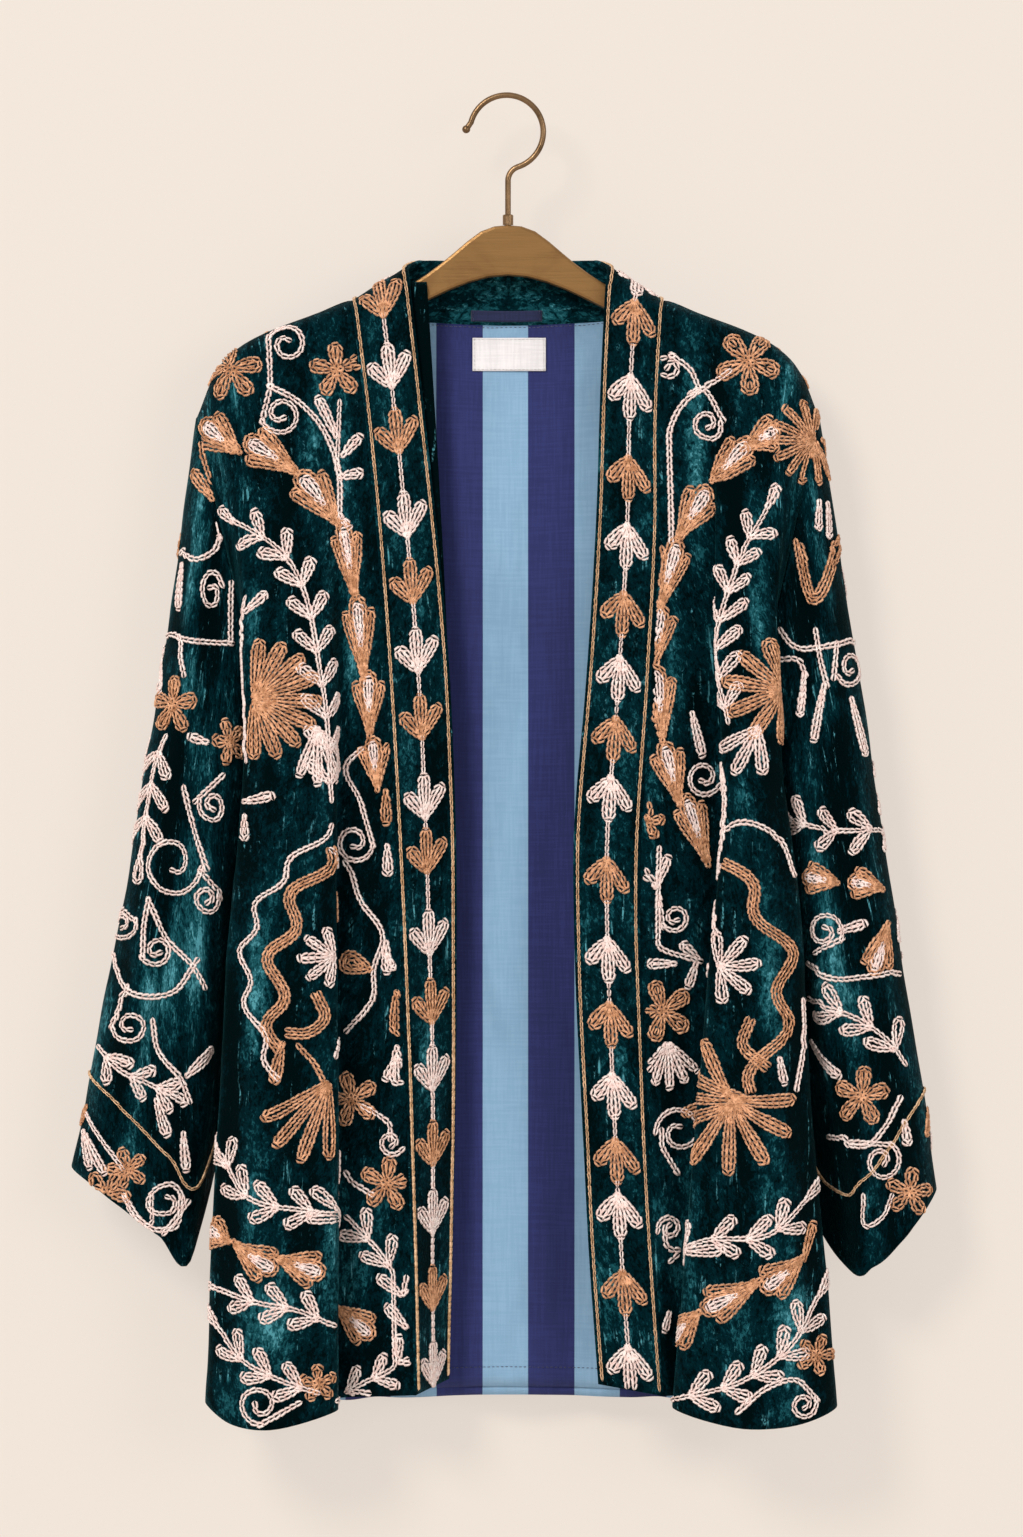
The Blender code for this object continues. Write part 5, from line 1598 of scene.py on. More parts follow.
# %% The designs
FRONT_RIGHT_DESIGN = [
    ("flower", COPPER, 18.4, (-188, -186)),
    ("flower", COPPER, 17, (-116, -186)),
    ("scroll", PINK, 8.8, (-150, -168), (-158, -186), (-161, -197)),
    ("stem", PINK, 1, (-161, -197), (-141, -208), (-115, -253), (-114, -284)),
    ("stem", PINK, 0.8, (-114, -208), (-115, -233), (-116, -252)),
    ("scroll", PINK, 8.8, (-154, -216), (-167, -204), (-161, -197)),
    ("leaf", PINK, 8.8, (-116, -231), (-130, -203), (-112, -244), (-99, -229), (-114, -258),
     (-97, -255)),
    ("leaf", PINK, 6.1, (-114, -284), (-106, -294)),
    ("tulip", COPPER, 20.4, (-207, -222), (-180, -243), (-177, -233), (-141, -256), (-139, -258),
     (-114, -292)),
    ("tulip", COPPER, 16.3, (-112, -292), (-103, -341), (-102, -343), (-97, -396), (-94, -393),
     (-93, -435), (-91, -437), (-88, -471)),
    ("sprig", PINK, 16.3, (-120, -477), (-126, -399), (-154, -309), (-185, -288)),
    ("stem", PINK, 0.6, (-177, -341), (-182, -382), (-180, -423), (-176, -450)),
    ("leaf", PINK, 7.5, (-177, -350), (-162, -336)),
    ("fan", COPPER, 14.3, (-171, -409), (9, 46), (85, -90)),
    ("fan", PINK, 10.2, (-129, -428), (4, 41), (-110, -50)),
    ("leaf", PINK, 8.2, (-179, -479), (-157, -474), (-177, -488), (-177, -506)),
    ("wave", PINK, 1, (-120, -495), (-156, -664), (5, 4, -38)),
    ("wave", COPPER, 2, (-120, -511), (-155, -644), (3, 7, -16)),
    ("vine", COPPER, 2, (-148, -634), (-135, -634), (-124, -624), (-129, -609)),
    ("leaf", COPPER, 10.2, (-152, -641), (-158, -669)),
    ("stem", COPPER, 1, (-141, -643), (-131, -654), (-124, -668)),
    ("fan", PINK, 10.2, (-118, -583), (5, 24), (105, 260)),
    ("leaf", COPPER, 19, (-92, -592), (-114, -585)),
    ("leaf", COPPER, 8.8, (-114, -558), (-110, -537)),
    ("scroll", PINK, 8.8, (-104, -506), (-100, -477), (-110, -454), (-99, -443)),
    ("wave", PINK, 1, (-120, -511), (-117, -649), (3, 3, 32)),
    ("leaf", COPPER, 9.5, (-82, -471), (-82, -495)),
    ("leaf", PINK, 8.8, (-81, -508), (-81, -530), (-82, -573), (-82, -596)),
    ("leaf", PINK, 6.1, (-84, -578), (-76, -594)),
    ("leaf", COPPER, 12.2, (-75, -607), (-75, -637)),
    ("leaf", PINK, 12.2, (-75, -644), (-75, -671)),
    ("leaf", PINK, 7.5, (-75, -651), (-84, -668), (-75, -651), (-65, -668)),
    ("fan", COPPER, 12.2, (-121, -668), (4, 58), (-150, -90)),
    ("flower", COPPER, 17, (-105, -680)),
    ("stem", PINK, 1, (-112, -715), (-108, -733), (-92, -744)),
    ("scroll", PINK, 6.1, (-79, -709), (-73, -695), (-88, -690), (-97, -685)),
    ("flower", COPPER, 17, (-82, -737)),
    ("sprig", PINK, 17, (-121, -756), (-133, -754), (-175, -744), (-194, -715)),
    ("sprig", PINK, 17, (-67, -845), (-73, -807), (-84, -787), (-116, -753)),
    ("tulip", COPPER, 18.4, (-203, -767), (-186, -775), (-158, -794), (-186, -775), (-126, -796),
     (-157, -785), (-92, -839), (-117, -821)),
    ("sprig", PINK, 16.3, (-118, -831), (-141, -821), (-169, -815), (-197, -806)),
    ("sprig", PINK, 16.3, (-129, -876), (-152, -868), (-179, -853), (-195, -832)),
    ("scroll", PINK, 8.8, (-167, -884), (-154, -891), (-141, -883)),
    ("flower", COPPER, 12.2, (-128, -870)),
    ("sprig", PINK, 15, (-116, -882), (-97, -872), (-79, -862), (-65, -845)),
]
FRONT_LEFT_DESIGN = [
    ("flower", COPPER, 20.4, (163, -180)),
    ("stem", PINK, 1, (150, -187), (117, -211), (108, -277), (110, -301)),
    ("scroll", PINK, 5.4, (110, -184), (124, -186), (129, -198)),
    ("scroll", PINK, 7.5, (135, -222), (143, -207), (129, -199), (124, -202)),
    ("tulip", COPPER, 19, (186, -225), (159, -239), (163, -237), (133, -265), (135, -267), (114, -301)),
    ("tulip", COPPER, 17, (114, -304), (103, -350), (103, -348), (100, -388), (101, -390), (106, -438),
     (106, -441), (117, -481), (120, -477), (136, -522)),
    ("sprig", PINK, 15.6, (149, -424), (141, -378), (154, -321), (176, -279)),
    ("fan", COPPER, 14.3, (185, -403), (6, 41), (105, 270)),
    ("fan", PINK, 12.2, (169, -428), (3, 37), (-150, -85)),
    ("leaf", PINK, 8.2, (124, -418), (132, -449)),
    ("flower", COPPER, 11.6, (95, -492)),
    ("scroll", PINK, 8.2, (133, -462), (146, -457), (141, -447)),
    ("stem", PINK, 1, (141, -447), (146, -471), (137, -549), (141, -566)),
    ("stem", PINK, 1, (146, -498), (154, -493), (182, -503), (192, -527)),
    ("wave", COPPER, 2, (147, -520), (163, -672), (3, 7, 32)),
    ("vine", COPPER, 2, (163, -626), (158, -641), (173, -656)),
    ("leaf", PINK, 7.5, (182, -651), (186, -670)),
    ("stem", PINK, 1, (98, -510), (95, -556), (100, -573), (134, -588)),
    ("leaf", PINK, 8.2, (101, -536), (90, -522), (101, -536), (110, -514), (114, -588), (93, -588),
     (129, -585), (116, -573), (127, -588), (121, -606)),
    ("scroll", PINK, 6.1, (113, -557), (103, -543)),
    ("fan", PINK, 12.2, (143, -590), (5, 28), (95, -85)),
    ("flower", COPPER, 19, (105, -620)),
    ("fan", PINK, 9.5, (108, -642), (5, 32), (-130, -45)),
    ("stem", PINK, 1, (201, -613), (199, -641), (194, -671)),
    ("fan", COPPER, 13.6, (150, -680), (9, 51), (0, -245)),
    ("scroll", PINK, 10.9, (115, -702), (106, -719), (114, -729)),
    ("sprig", PINK, 17, (110, -789), (124, -777), (178, -768), (200, -747)),
    ("scroll", PINK, 5.4, (109, -767), (112, -782), (125, -777)),
    ("tulip", COPPER, 18.4, (173, -806), (199, -785), (133, -821), (170, -801), (109, -842),
     (129, -821)),
    ("leaf", COPPER, 8.2, (198, -787), (206, -761)),
    ("leaf", PINK, 6.8, (109, -824), (105, -838)),
    ("sprig", PINK, 17, (112, -881), (161, -866), (187, -847), (209, -811)),
    ("scroll", PINK, 6.1, (199, -884), (193, -867), (175, -872), (155, -888)),
    ("flower", COPPER, 12.9, (207, -851)),
]
SLEEVE_RIGHT_DESIGN = [
    ("leaf", COPPER, 11.6, (-197, -271), (-208, -230), (-197, -273), (-218, -253)),
    ("stem", PINK, 1, (-222, -307), (-213, -314), (-196, -304), (-191, -283)),
    ("scroll", PINK, 9.5, (-201, -336), (-190, -344), (-188, -369)),
    ("stem", PINK, 1, (-231, -364), (-216, -369), (-188, -371)),
    ("stem", PINK, 1, (-223, -369), (-219, -392)),
    ("flower", COPPER, 17.7, (-226, -413)),
    ("flower", COPPER, 15, (-189, -438)),
    ("leaf", PINK, 8.2, (-201, -438), (-220, -434)),
    ("sprig", PINK, 16.3, (-231, -435), (-237, -450), (-243, -481), (-248, -515)),
    ("scroll", PINK, 15, (-227, -520), (-206, -515), (-212, -491), (-220, -469)),
    ("scroll", PINK, 7.5, (-200, -481), (-207, -475), (-194, -461)),
    ("scroll", PINK, 6.8, (-204, -544), (-197, -540), (-208, -526)),
    ("stem", PINK, 1, (-243, -545), (-233, -569), (-213, -590), (-206, -603)),
    ("scroll", PINK, 6.8, (-238, -579), (-246, -562), (-243, -545)),
    ("scroll", PINK, 6.8, (-261, -562), (-256, -554), (-265, -549)),
    ("scroll", PINK, 7.5, (-256, -630), (-269, -620), (-258, -603)),
    ("stem", PINK, 1, (-269, -579), (-256, -607), (-226, -607), (-211, -586)),
    ("stem", PINK, 1, (-241, -627), (-238, -644), (-221, -668), (-216, -681)),
    ("sprig", PINK, 15, (-277, -645), (-260, -662), (-247, -668), (-231, -675)),
    ("leaf", PINK, 8.8, (-238, -680), (-230, -706)),
    ("leaf", PINK, 8.8, (-219, -666), (-201, -647)),
    ("leaf", PINK, 8.2, (-221, -703), (-218, -730)),
    ("leaf", PINK, 7.5, (-288, -702), (-282, -729), (-286, -704), (-272, -732)),
    ("leaf", COPPER, 6.8, (-285, -685), (-291, -699)),
    ("stem", PINK, 0.8, (-286, -690), (-275, -707), (-262, -726)),
    ("flower", COPPER, 13.6, (-258, -727)),
    ("stem", PINK, 1, (-260, -747), (-240, -768), (-226, -766), (-222, -746)),
    ("scroll", PINK, 8.8, (-231, -749), (-220, -758), (-233, -770)),
]
SLEEVE_LEFT_DESIGN = [
    ("leaf", PINK, 7.5, (210, -275), (210, -296), (196, -275), (190, -294), (222, -264), (229, -283)),
    ("vine", COPPER, 2, (197, -306), (207, -341), (227, -294)),
    ("leaf", PINK, 8.2, (227, -306), (233, -335)),
    ("stem", PINK, 1, (185, -362), (192, -372), (222, -372), (236, -369)),
    ("stem", PINK, 1, (209, -363), (212, -382), (216, -399)),
    ("leaf", PINK, 8.2, (216, -399), (205, -439)),
    ("scroll", PINK, 8.2, (231, -388), (220, -379), (222, -372)),
    ("leaf", PINK, 8.2, (230, -409), (244, -449)),
    ("stem", PINK, 1, (185, -382), (196, -382), (201, -392)),
    ("leaf", PINK, 7.5, (201, -392), (197, -423)),
    ("sprig", PINK, 17.7, (256, -496), (233, -498), (209, -496), (193, -490)),
    ("tulip", COPPER, 16.3, (199, -529), (226, -533), (230, -532), (256, -537), (248, -593),
     (257, -560)),
    ("scroll", PINK, 8.2, (214, -566), (223, -579), (207, -581)),
    ("leaf", PINK, 8.2, (221, -567), (245, -560)),
    ("stem", PINK, 1, (202, -590), (219, -598), (243, -597), (265, -593)),
    ("sprig", PINK, 17.7, (268, -656), (258, -641), (223, -620), (204, -615)),
    ("leaf", PINK, 8.2, (207, -649), (227, -666)),
    ("flower", COPPER, 18.4, (239, -678)),
    ("stem", PINK, 1, (219, -707), (243, -711), (256, -698), (265, -680)),
    ("scroll", PINK, 8.8, (253, -722), (243, -714), (233, -709)),
    ("leaf", PINK, 7.5, (268, -695), (271, -713)),
    ("flower", COPPER, 15, (272, -743)),
    ("stem", PINK, 0.8, (241, -746), (243, -766), (253, -760), (260, -746)),
]
SHOULDER_FAN = [
    ("fan", COPPER, 8.8, (206, -234), (11, 32), (80, 330)),
]
# Half of the back's own motifs, used on both halves: the middle, which the fronts leave open
BACK_DESIGN = [
    ("tulip", COPPER, 19, (34, -205), (30, -250), (30, -253), (20, -296)),
    ("scroll", PINK, 10, (58, -235), (44, -258), (36, -292)),
    ("sprig", PINK, 16, (58, -280), (50, -330), (56, -380), (48, -430)),
    ("scroll", PINK, 11, (24, -470), (44, -478), (50, -450)),
    ("flower", COPPER, 15, (46, -505)),
    ("vine", COPPER, 3, (14, -620), (34, -600), (30, -636), (54, -628), (52, -668), (74, -664)),
    ("sprig", PINK, 15, (14, -660), (34, -700), (28, -745), (44, -790)),
    ("scroll", PINK, 10, (62, -732), (50, -712), (38, -700)),
    ("daisy", COPPER, 13, (10, -846), (30, -802), (44, -820), (50, -846)),
]
BACK_MIDDLE = [
    ("flower", COPPER, 19, (0, -190)),
    ("daisy", COPPER, 15, (0, -372), (0, -322), (29, -332), (46, -360), (42, -394), (20, -416), (-20, -416),
     (-42, -394), (-46, -360), (-29, -332)),
    ("flower", PINK, 13, (0, -372)),
    ("daisy", PINK, 13, (0, -560), (0, -522), (22, -534), (30, -560), (22, -586), (0, -598), (-22, -586),
     (-30, -560), (-22, -534)),
    ("flower", COPPER, 17, (0, -770)),
]

for name, face, motifs, mirror in (
    ("front_right", FRONT_FACE, FRONT_RIGHT_DESIGN, 1),
    ("front_left", FRONT_FACE, FRONT_LEFT_DESIGN, 1),
    ("sleeve_right", FRONT_FACE, SLEEVE_RIGHT_DESIGN, 1),
    ("sleeve_left", FRONT_FACE, SLEEVE_LEFT_DESIGN, 1),
    ("sleeve_right", BACK_FACE, SLEEVE_LEFT_DESIGN, -1),
    ("sleeve_left", BACK_FACE, SLEEVE_RIGHT_DESIGN, -1),
    ("front_left", FRONT_FACE, SHOULDER_FAN, 1),
    ("sleeve_left", FRONT_FACE, SHOULDER_FAN, 1),
    ("back", BACK_FACE, FRONT_LEFT_DESIGN, -1),
    ("back", BACK_FACE, FRONT_RIGHT_DESIGN, -1),
    ("back", BACK_FACE, BACK_DESIGN, 1),
    ("back", BACK_FACE, BACK_DESIGN, -1),
    ("back", BACK_FACE, BACK_MIDDLE, 1),
):
    embroider(name, face, motifs, mirror)
print("rows of stitches so far:", sum(len(rows) for rows in threadwork.values()))

# %% [markdown]
# ## The neck band's border
#
# A row of small three-petalled fleurons climbs one side of the band and comes down the other, pink and
# copper by turns on a thin pink stem, with a straw-coloured chain along both edges. It follows the band's
# chart from row to row, so it needs only a height for each fleuron.

# %% Fleurons along the band
FLEURON_HEIGHTS = {
    RIGHT: [-182, -226, -283, -328, -375, -420, -474, -511, -566, -613, -658, -709, -755, -807, -858],
    LEFT: [-154, -205, -260, -306, -352, -396, -437, -477, -532, -586, -630, -678, -722, -759, -811, -862],
}
FLEURON_POINTS_UP = {RIGHT: 1, LEFT: -1}
FLEURON_FIRST = {RIGHT: PINK, LEFT: COPPER}
FLEURON_HEIGHT, FLEURON_WIDTH = 31.0, 29.0
EDGE_INSET = 3.0
NECK_FLEURONS = 3
BAND_STEM_WIDTH, BAND_EDGE_WIDTH = 0.85, 0.58
FLEURON_PETAL = 11.0
# Each petal of a fleuron: how far out and how far up its tip is, as shares of the width and height
FLEURON_TIPS = ((-0.5, 0.66), (0.5, 0.66), (0, 1.0))

for side, word in ((LEFT, "left"), (RIGHT, "right")):
    panel = panels[f"band_{word}"]
    points = panel["points"]
    middle = BAND_ACROSS_FINE / 2
    over, down = chart_of(panel)
    up = FLEURON_POINTS_UP[side]
    colours = [PINK, COPPER] if FLEURON_FIRST[side] == PINK else [COPPER, PINK]
    front_rows = int(np.argmax(points[:, int(middle), 2] > FRONT_LINES[side]["seam"][0][0])) or len(points)
    heights = points[:front_rows, int(middle), 2]
    starts = [float(np.interp(z, heights, range(front_rows))) for z in FLEURON_HEIGHTS[side]]
    spare = (len(points) - starts[0]) / (NECK_FLEURONS + 0.5)
    starts = [starts[0] + spare * (k + 1) for k in range(NECK_FLEURONS)][::-1] + starts
    for k, row in enumerate(starts):
        colour = colours[(k - NECK_FLEURONS) % 2]
        r = int(np.clip(row, 2, len(points) - 3))
        hand = 1 if points[r, -1, 0] > points[r, 0, 0] else -1
        at = (row, middle, np.array([[0, -1], [hand, 0]]), 0)
        base = np.array([0, up * FLEURON_HEIGHT / 2])
        for out, rise in FLEURON_TIPS:
            tip = base + np.array([out * FLEURON_WIDTH, -up * rise * FLEURON_HEIGHT])
            put_petal(panel, colour, at, base, tip, FLEURON_PETAL)
    rows = np.arange(1.0, len(points) - 1.5, 0.5)
    depths, centres = np.interp(rows, range(len(down)), down), np.interp(starts, range(len(down)), down)
    bare = np.abs(depths[:, None] - centres).min(1) > FLEURON_HEIGHT / 2 - 1
    for first, last in zip(np.flatnonzero(np.diff(bare.astype(int), prepend=0) == 1),
                           np.flatnonzero(np.diff(bare.astype(int), append=0) == -1)):
        lay(panel, PINK, BAND_STEM_WIDTH, rows[first : last + 1], np.full(last + 1 - first, middle))
    for edge in (0, -1):
        widths = np.abs(over[:, -1] - over[:, 0])
        shift = EDGE_INSET / np.interp(rows, range(len(widths)), widths) * BAND_ACROSS_FINE
        columns = shift if edge == 0 else BAND_ACROSS_FINE - shift
        lay(panel, STRAW, BAND_EDGE_WIDTH, rows, columns)
    print(f"band_{word}: {len(starts)} fleurons")

# %% [markdown]
# One straw-coloured chain runs round each sleeve above its cuff, as a maker sews a border where the hem is
# caught down. It is a single row of the sleeve's own chart, so it stays parallel to the slanted edge.

# %% Borders of the cuffs
CUFF_LINES = {"sleeve_right": 0.875, "sleeve_left": 0.872}
CUFF_WIDTH = 0.60

for name, share in CUFF_LINES.items():
    panel = panels[name]
    count_down, count_over = panel["points"].shape[:2]
    columns = np.linspace(0, count_over, 3 * count_over)
    lay(panel, STRAW, CUFF_WIDTH, np.full(len(columns), share * (count_down - 1)), columns)
print("cuffs bordered")

# %% [markdown]
# ## Sewing it all
#
# All rows of one colour on one panel are sewn at once, into one mesh. That keeps each piece small enough
# to handle, and a reader can hide the pink thread on a sleeve to see how the copper was laid.

# %% Sew the embroidery
embroidery = {}
for (name, colour), rows in threadwork.items():
    made = sew_rows(f"{name}_{colour}_chain_stitch", rows, link, threads[colour])
    embroidery.setdefault(name, []).append(made)
    print(f"{made.name}: {len(rows)} rows, {len(made.data.polygons)} faces")

# The velvet that is turned in along the neck: where it ends, how wide it is, how far behind it lies, how
# much it leans back, its thickness and its columns
FACING_TOP, FACING_END, FACING_REACH = -125, -370, 11.5
FACING_BEHIND, FACING_LEAN, FACING_WALL, FACING_COLUMNS = 1.6, 0.12, 0.8, 5
band = panels["band_right"]["points"]
inner = band[:, 0 if band[-1, 0, 0] > band[-1, -1, 0] else -1]
inner = inner[(inner[:, 2] < FACING_TOP) & (inner[:, 2] > FACING_END) & (inner[:, 1] < 0)]
reach = FACING_REACH * (inner[:, 2] - FACING_END) / (FACING_TOP - FACING_END)
shares = np.linspace(0, 1, FACING_COLUMNS)[None, :, None]
strip = inner[:, None] + [0, FACING_BEHIND, 0] + shares * (reach[:, None, None] * [1, FACING_LEAN, 0])
corners = np.array([0, 1, FACING_COLUMNS + 1, FACING_COLUMNS])
quads = [(FACING_COLUMNS * r + c + corners).tolist() for r in range(len(strip) - 1)
         for c in range(FACING_COLUMNS - 1)]
mesh = new_mesh("band_facing", strip, [], quads)
if mesh.polygons[0].normal.y > 0:
    mesh.flip_normals()
layer = mesh.uv_layers.new(name="cloth")
layer.data.foreach_set("uv", np.ravel([mesh.vertices[l.vertex_index].co.xz for l in mesh.loops]))
mesh.shade_smooth()
mesh.materials.append(band_velvet)
facing = in_jacket("band_right_facing", mesh)
facing.modifiers.new("thickness", "SOLIDIFY").thickness = FACING_WALL * MM
embroidery["band_right"].append(facing)
print("facing:", len(quads), "faces")
total = sum(sum(len(f.vertices) - 2 for f in p.data.polygons) for some in embroidery.values() for p in some)
print("embroidery triangles:", total)

# %% [markdown]
# ## Topstitching
#
# A machine stitch holds the lining's top edge and its hem, runs round the label and follows the loop's
# long edges. It uses the same sewing tree with a plain stitch in place of the chain's link, because it
# follows a row as well.

# %% Topstitches on the lining, label and loop
TOPSTITCH_SPACING, TOPSTITCH_SHAKE, TOPSTITCH_LIFT = 3.1, 0.03, 0.12
LABEL_CLOSER = 0.85
LONG_SIDE, SHORT_SIDE = 40, 20
LINING_TOP_STITCHES, LINING_HEM_STITCHES = 120, 240
LINING_SIDE, LINING_EDGE, LINING_ROW = 22, 0.5, 1.6


def stitch_line(name, rows, columns):
    """A row of stitches on a panel. One of rows and columns may be a single number."""
    panel = panels[name]
    rows, columns = np.broadcast_arrays(np.asarray(rows, float), np.asarray(columns, float))
    points, normals = sample(panel, rows, columns)
    return points + normals * (panel["wall"] / 2 + TOPSTITCH_LIFT), normals, 1.0


def edge_stitches(name, inset_rows, inset_columns, close):
    """Stitches a little inside a patch's long edges, and its short ones too where they close it."""
    count_down, count_over = panels[name]["points"].shape[:2]
    low, high = inset_rows, count_down - 1 - inset_rows
    near, far = inset_columns, count_over - 1 - inset_columns
    lines = [stitch_line(name, row, np.linspace(near, far, LONG_SIDE)) for row in (low, high)]
    if close:
        lines += [stitch_line(name, np.linspace(low, high, SHORT_SIDE), column) for column in (near, far)]
    return lines


def topstitch(name, lines, colour, spacing=TOPSTITCH_SPACING):
    return sew_rows(name, lines, dash, threads[colour], spacing, TOPSTITCH_SHAKE, TOPSTITCH_SHAKE)


lining_across = np.linspace(LINING_SIDE, LINING_COLUMNS - LINING_SIDE, LINING_TOP_STITCHES)
full_across = np.linspace(LINING_EDGE, LINING_COLUMNS - LINING_EDGE, LINING_HEM_STITCHES)
lining_lines = [stitch_line("lining_back", LINING_ROW, lining_across),
                stitch_line("lining_back", LINING_FINE_ROWS - LINING_ROW, full_across)]
label_lines = edge_stitches("label", 0.9, 1.2, True)
loop_lines = edge_stitches("hanging_loop", 1.0, 0.6, False)
topstitches = {
    "lining_back": topstitch("lining_topstitch", lining_lines, "navy"),
    "label": topstitch("label_stitch", label_lines, "white", TOPSTITCH_SPACING * LABEL_CLOSER),
    "hanging_loop": topstitch("loop_topstitch", loop_lines, "navy"),
}
print("topstitches:", ", ".join(piece.name for piece in topstitches.values()))
for tool in (link, dash):
    bpy.data.objects.remove(tool)

# %% [markdown]
# ## The hanger
#
# The board keeps its solid and gets its brass. The hook's solid is a wire of eight flat sides, too coarse
# for a close look, so the same path is bent again as a round wire with a ball at its end.

# %% The hook as a round wire
HOOK_ROUND = 5
HOOK_STEPS, ELBOW_STEPS = 60, 14
BALL_SEGMENTS, BALL_RINGS = 20, 12


def arc(centre, radius, angles):
    return [(centre[0] + radius * cos(radians(angle)), centre[1] + radius * sin(radians(angle)))
            for angle in angles]


cx, cz = HOOK_CENTRE
gap = HOOK_RADIUS + ELBOW_RADIUS
elbow = (ELBOW_RADIUS, cz - sqrt(gap**2 - (ELBOW_RADIUS - cx) ** 2))
meet = np.degrees(np.arctan2(elbow[1] - cz, elbow[0] - cx))
bend = arc(HOOK_CENTRE, HOOK_RADIUS, np.linspace(HOOK_START, meet, HOOK_STEPS))
turn_down = arc(elbow, ELBOW_RADIUS, np.linspace(meet + 180, 180, ELBOW_STEPS)[1:])
path = [HOOK_TIP, *bend, *turn_down, (0, HOOK_FOOT)]
wire = bpy.data.curves.new("hook_wire", "CURVE")
wire.dimensions = "3D"
wire.bevel_depth = WIRE / 2 * MM
wire.bevel_resolution = HOOK_ROUND
wire.use_fill_caps = True
spline = wire.splines.new("POLY")
spline.points.add(len(path) - 1)
for point, (x, z) in zip(spline.points, path):
    point.co = (x * MM, 0, z * MM, 1)
guide = in_jacket("hook_guide", wire)
bpy.context.view_layer.update()
mesh = bpy.data.meshes.new_from_object(guide.evaluated_get(bpy.context.evaluated_depsgraph_get()))
bpy.data.objects.remove(guide)
round_off = bmesh.new()
round_off.from_mesh(mesh)
ball = bmesh.ops.create_uvsphere(round_off, u_segments=BALL_SEGMENTS, v_segments=BALL_RINGS,
                                 radius=BALL / 2 * MM)["verts"]
bmesh.ops.translate(round_off, verts=ball, vec=(HOOK_TIP[0] * MM, 0, HOOK_TIP[1] * MM))
bmesh.ops.recalc_face_normals(round_off, faces=round_off.faces)
round_off.to_mesh(mesh)
round_off.free()
mesh.shade_smooth()
mesh.materials.clear()
mesh.materials.append(hook_brass)
hook_piece = in_jacket("hook_round_wire", mesh)
for name, finish in (("hanger_board", board_brass), ("hanger_ferrule", hook_brass)):
    nodes[name].data.materials.clear()
    nodes[name].data.materials.append(finish)
print("hook faces:", len(mesh.polygons))

# %% [markdown]
# ## What carries what
#
# Nothing on this jacket moves in the model, so every piece rides on the one body. The cloth shells stand for
# their solids, which are hidden. The size that each was cut to is listed too, so that whoever uses the part
# knows how much cloth it is. The embroidery rides on the same body as its cloth.

# %% Bodies, replaced solids and cut sizes
# Greatest width and length of each cut, all round on a sleeve, and its area where it isn't a rectangle, in
# metres: measured on these shells by sections square to the way that each one hangs. The strip is 7.5 mm
# wide, and 10 mm is the least that a sheet can state, so its area says the rest.
CUTS = {
    "back": ((0.485, 0.760), 0.316, ["hanger_board"]),
    "front_left": ((0.228, 0.750), 0.127, ["hanger_board"]),
    "front_right": ((0.233, 0.751), 0.127, ["hanger_board"]),
    "sleeve_left": ((0.207, 0.581), 0.0875, ["back", "front_left"]),
    "sleeve_right": ((0.230, 0.572), 0.0855, ["back", "front_right"]),
    "band_left": ((0.050, 0.865), 0.037, ["front_left", "back"]),
    "band_right": ((0.050, 0.865), 0.037, ["front_right", "back"]),
    "lining_back": ((0.390, 0.729), 0.254, ["back"]),
    "label": ((0.050, 0.0226), None, ["lining_back"]),
    "hanging_loop": ((0.049, 0.010), 0.00037, ["band_left", "band_right"]),
}
SLOTS = {**dict.fromkeys(CUTS, "velvet"), "band_left": "band_velvet", "band_right": "band_velvet",
         "lining_back": "lining", "label": "label_cloth", "hanging_loop": "lining"}
for name, piece in shells.items():
    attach(piece, "root")
    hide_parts(name)
    sewn_on = list(embroidery.get(name, []))
    if name in topstitches:
        sewn_on.append(topstitches[name])
    for thing in sewn_on:
        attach(thing, "root")
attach(hook_piece, "root")
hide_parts("hanger_hook")
print("pieces:", len(shells), "cloths,", sum(map(len, embroidery.values())), "embroideries")

# %% [markdown]
# ## A pale room
#
# The jacket hangs close to a cream wall that sweeps down into a pale floor. One large soft light stands
# to the upper left, so shadows fall a little to the right and down. A weaker one fills from the right,
# another lights the back, and the sky fills the rest evenly. The wall can be looked through from behind,
# so that the back of the jacket can be seen too.

# %% Wall, floor and lights
WALL_Y, WALL_WIDTH, WALL_TOP, FLOOR_Z, FLOOR_FRONT, SWEEP = 0.043, 3.2, 1.2, -1.45, -2.4, 0.35
WALL_COLOUR = (0.200, 0.178, 0.158)
WALL_GLOW = (0.628, 0.567, 0.512)
SKY_COLOUR, SKY_STRENGTH = (1.0, 0.97, 0.94, 1), 0.50
profile = [(WALL_Y, WALL_TOP), (WALL_Y, FLOOR_Z + SWEEP)]
for angle in np.linspace(0, pi / 2, 10)[1:]:
    profile.append((WALL_Y - SWEEP * (1 - cos(angle)), FLOOR_Z + SWEEP * (1 - sin(angle))))
profile.append((FLOOR_FRONT, FLOOR_Z))
points = [(x, y, z) for y, z in profile for x in (-WALL_WIDTH, WALL_WIDTH)]
faces = [(2 * k, 2 * k + 2, 2 * k + 3, 2 * k + 1) for k in range(len(profile) - 1)]
mesh = bpy.data.meshes.new("wall_and_floor")
mesh.from_pydata(points, [], faces)
mesh.shade_smooth()
wall = bpy.data.objects.new("wall_and_floor", mesh)
bpy.context.scene.collection.objects.link(wall)
wall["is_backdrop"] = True

paint, tree, sockets = new_material("wall_paint", 0.9, Base_Color=(*WALL_COLOUR, 1), Specular_IOR_Level=0.1,
                                   Emission_Color=(*WALL_GLOW, 1), Emission_Strength=1.0)
place = node(tree, "ShaderNodeTexCoord").outputs["Object"]
grain = bump(tree, noise(tree, place, 340.0, 4.0, 0.6), 0.0004, 0.25)
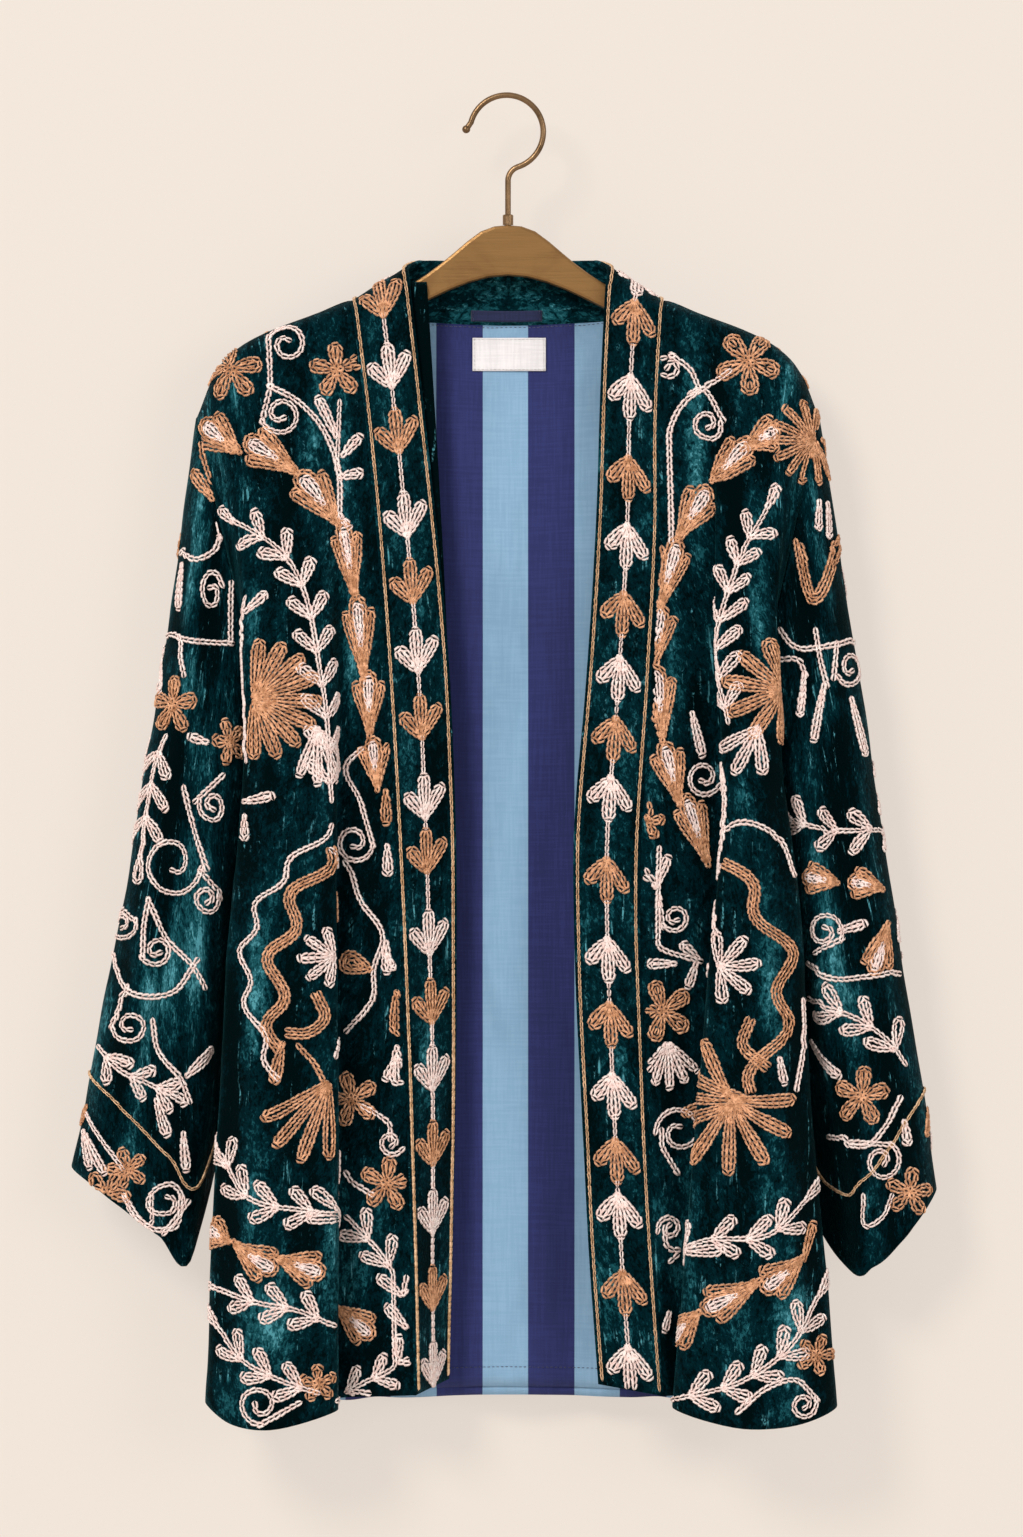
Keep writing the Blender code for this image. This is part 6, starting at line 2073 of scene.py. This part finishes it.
tree.links.new(grain, sockets["Normal"])
clear = tree.nodes.new("ShaderNodeBsdfTransparent").outputs[0]
behind = tree.nodes.new("ShaderNodeNewGeometry").outputs["Backfacing"]
seen = node(tree, "ShaderNodeMixShader", {}, {0: behind}).outputs[0]
tree.links.new(tree.nodes["Principled BSDF"].outputs[0], seen.node.inputs[1])
tree.links.new(clear, seen.node.inputs[2])
tree.links.new(seen, tree.nodes["Material Output"].inputs[0])
mesh.materials.append(paint)

# Each light: where it stands, what it looks at, its size, its power and its colour
LIGHTS = {
    "key": ((-2.8, -4.8, 2.8), (0, 0, -0.42), 2.1, 290, (1.0, 0.985, 0.96)),
    "fill": ((3.6, -4.6, 0.4), (0, 0, -0.5), 3.0, 90, (0.98, 0.99, 1.0)),
    "rear": ((0.8, 4.6, 2.0), (0, 0, -0.42), 2.6, 200, (1.0, 0.99, 0.97)),
}
for name, (stand, target, size, power, colour) in LIGHTS.items():
    lamp = bpy.data.lights.new(name, "AREA")
    lamp.shape, lamp.size, lamp.energy, lamp.color = "DISK", size, power, colour
    made = bpy.data.objects.new(name, lamp)
    way = np.subtract(target, stand)
    made.location = stand
    level = sqrt(way[0] ** 2 + way[1] ** 2)
    made.rotation_euler = (pi / 2 + atan2(way[2], level), 0, atan2(-way[0], way[1]))
    bpy.context.scene.collection.objects.link(made)

sky = bpy.data.worlds.new("sky")
sky.use_nodes = True
background = sky.node_tree.nodes["Background"].inputs
for label, value in (("Color", SKY_COLOUR), ("Strength", SKY_STRENGTH)):
    feed(sky.node_tree, background[label], value)
bpy.context.scene.world = sky
bpy.context.scene.view_settings.view_transform = "Standard"
print("lights:", ", ".join(LIGHTS))

# %% [markdown]
# ## Sizes, and the end
#
# The dressed jacket may stand a little proud of its solids, as cloth and thread do, and no more. Both boxes
# are printed.

# %% Print the sizes and finish
dressed_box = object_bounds()
sizes = {"cad": [list(corner) for corner in cad_box], "visual": [list(corner) for corner in dressed_box]}
for low, high, word in zip(sizes["cad"], sizes["visual"], ("lowest", "highest")):
    print(word, [round(1000 * value, 1) for value in low], [round(1000 * value, 1) for value in high])
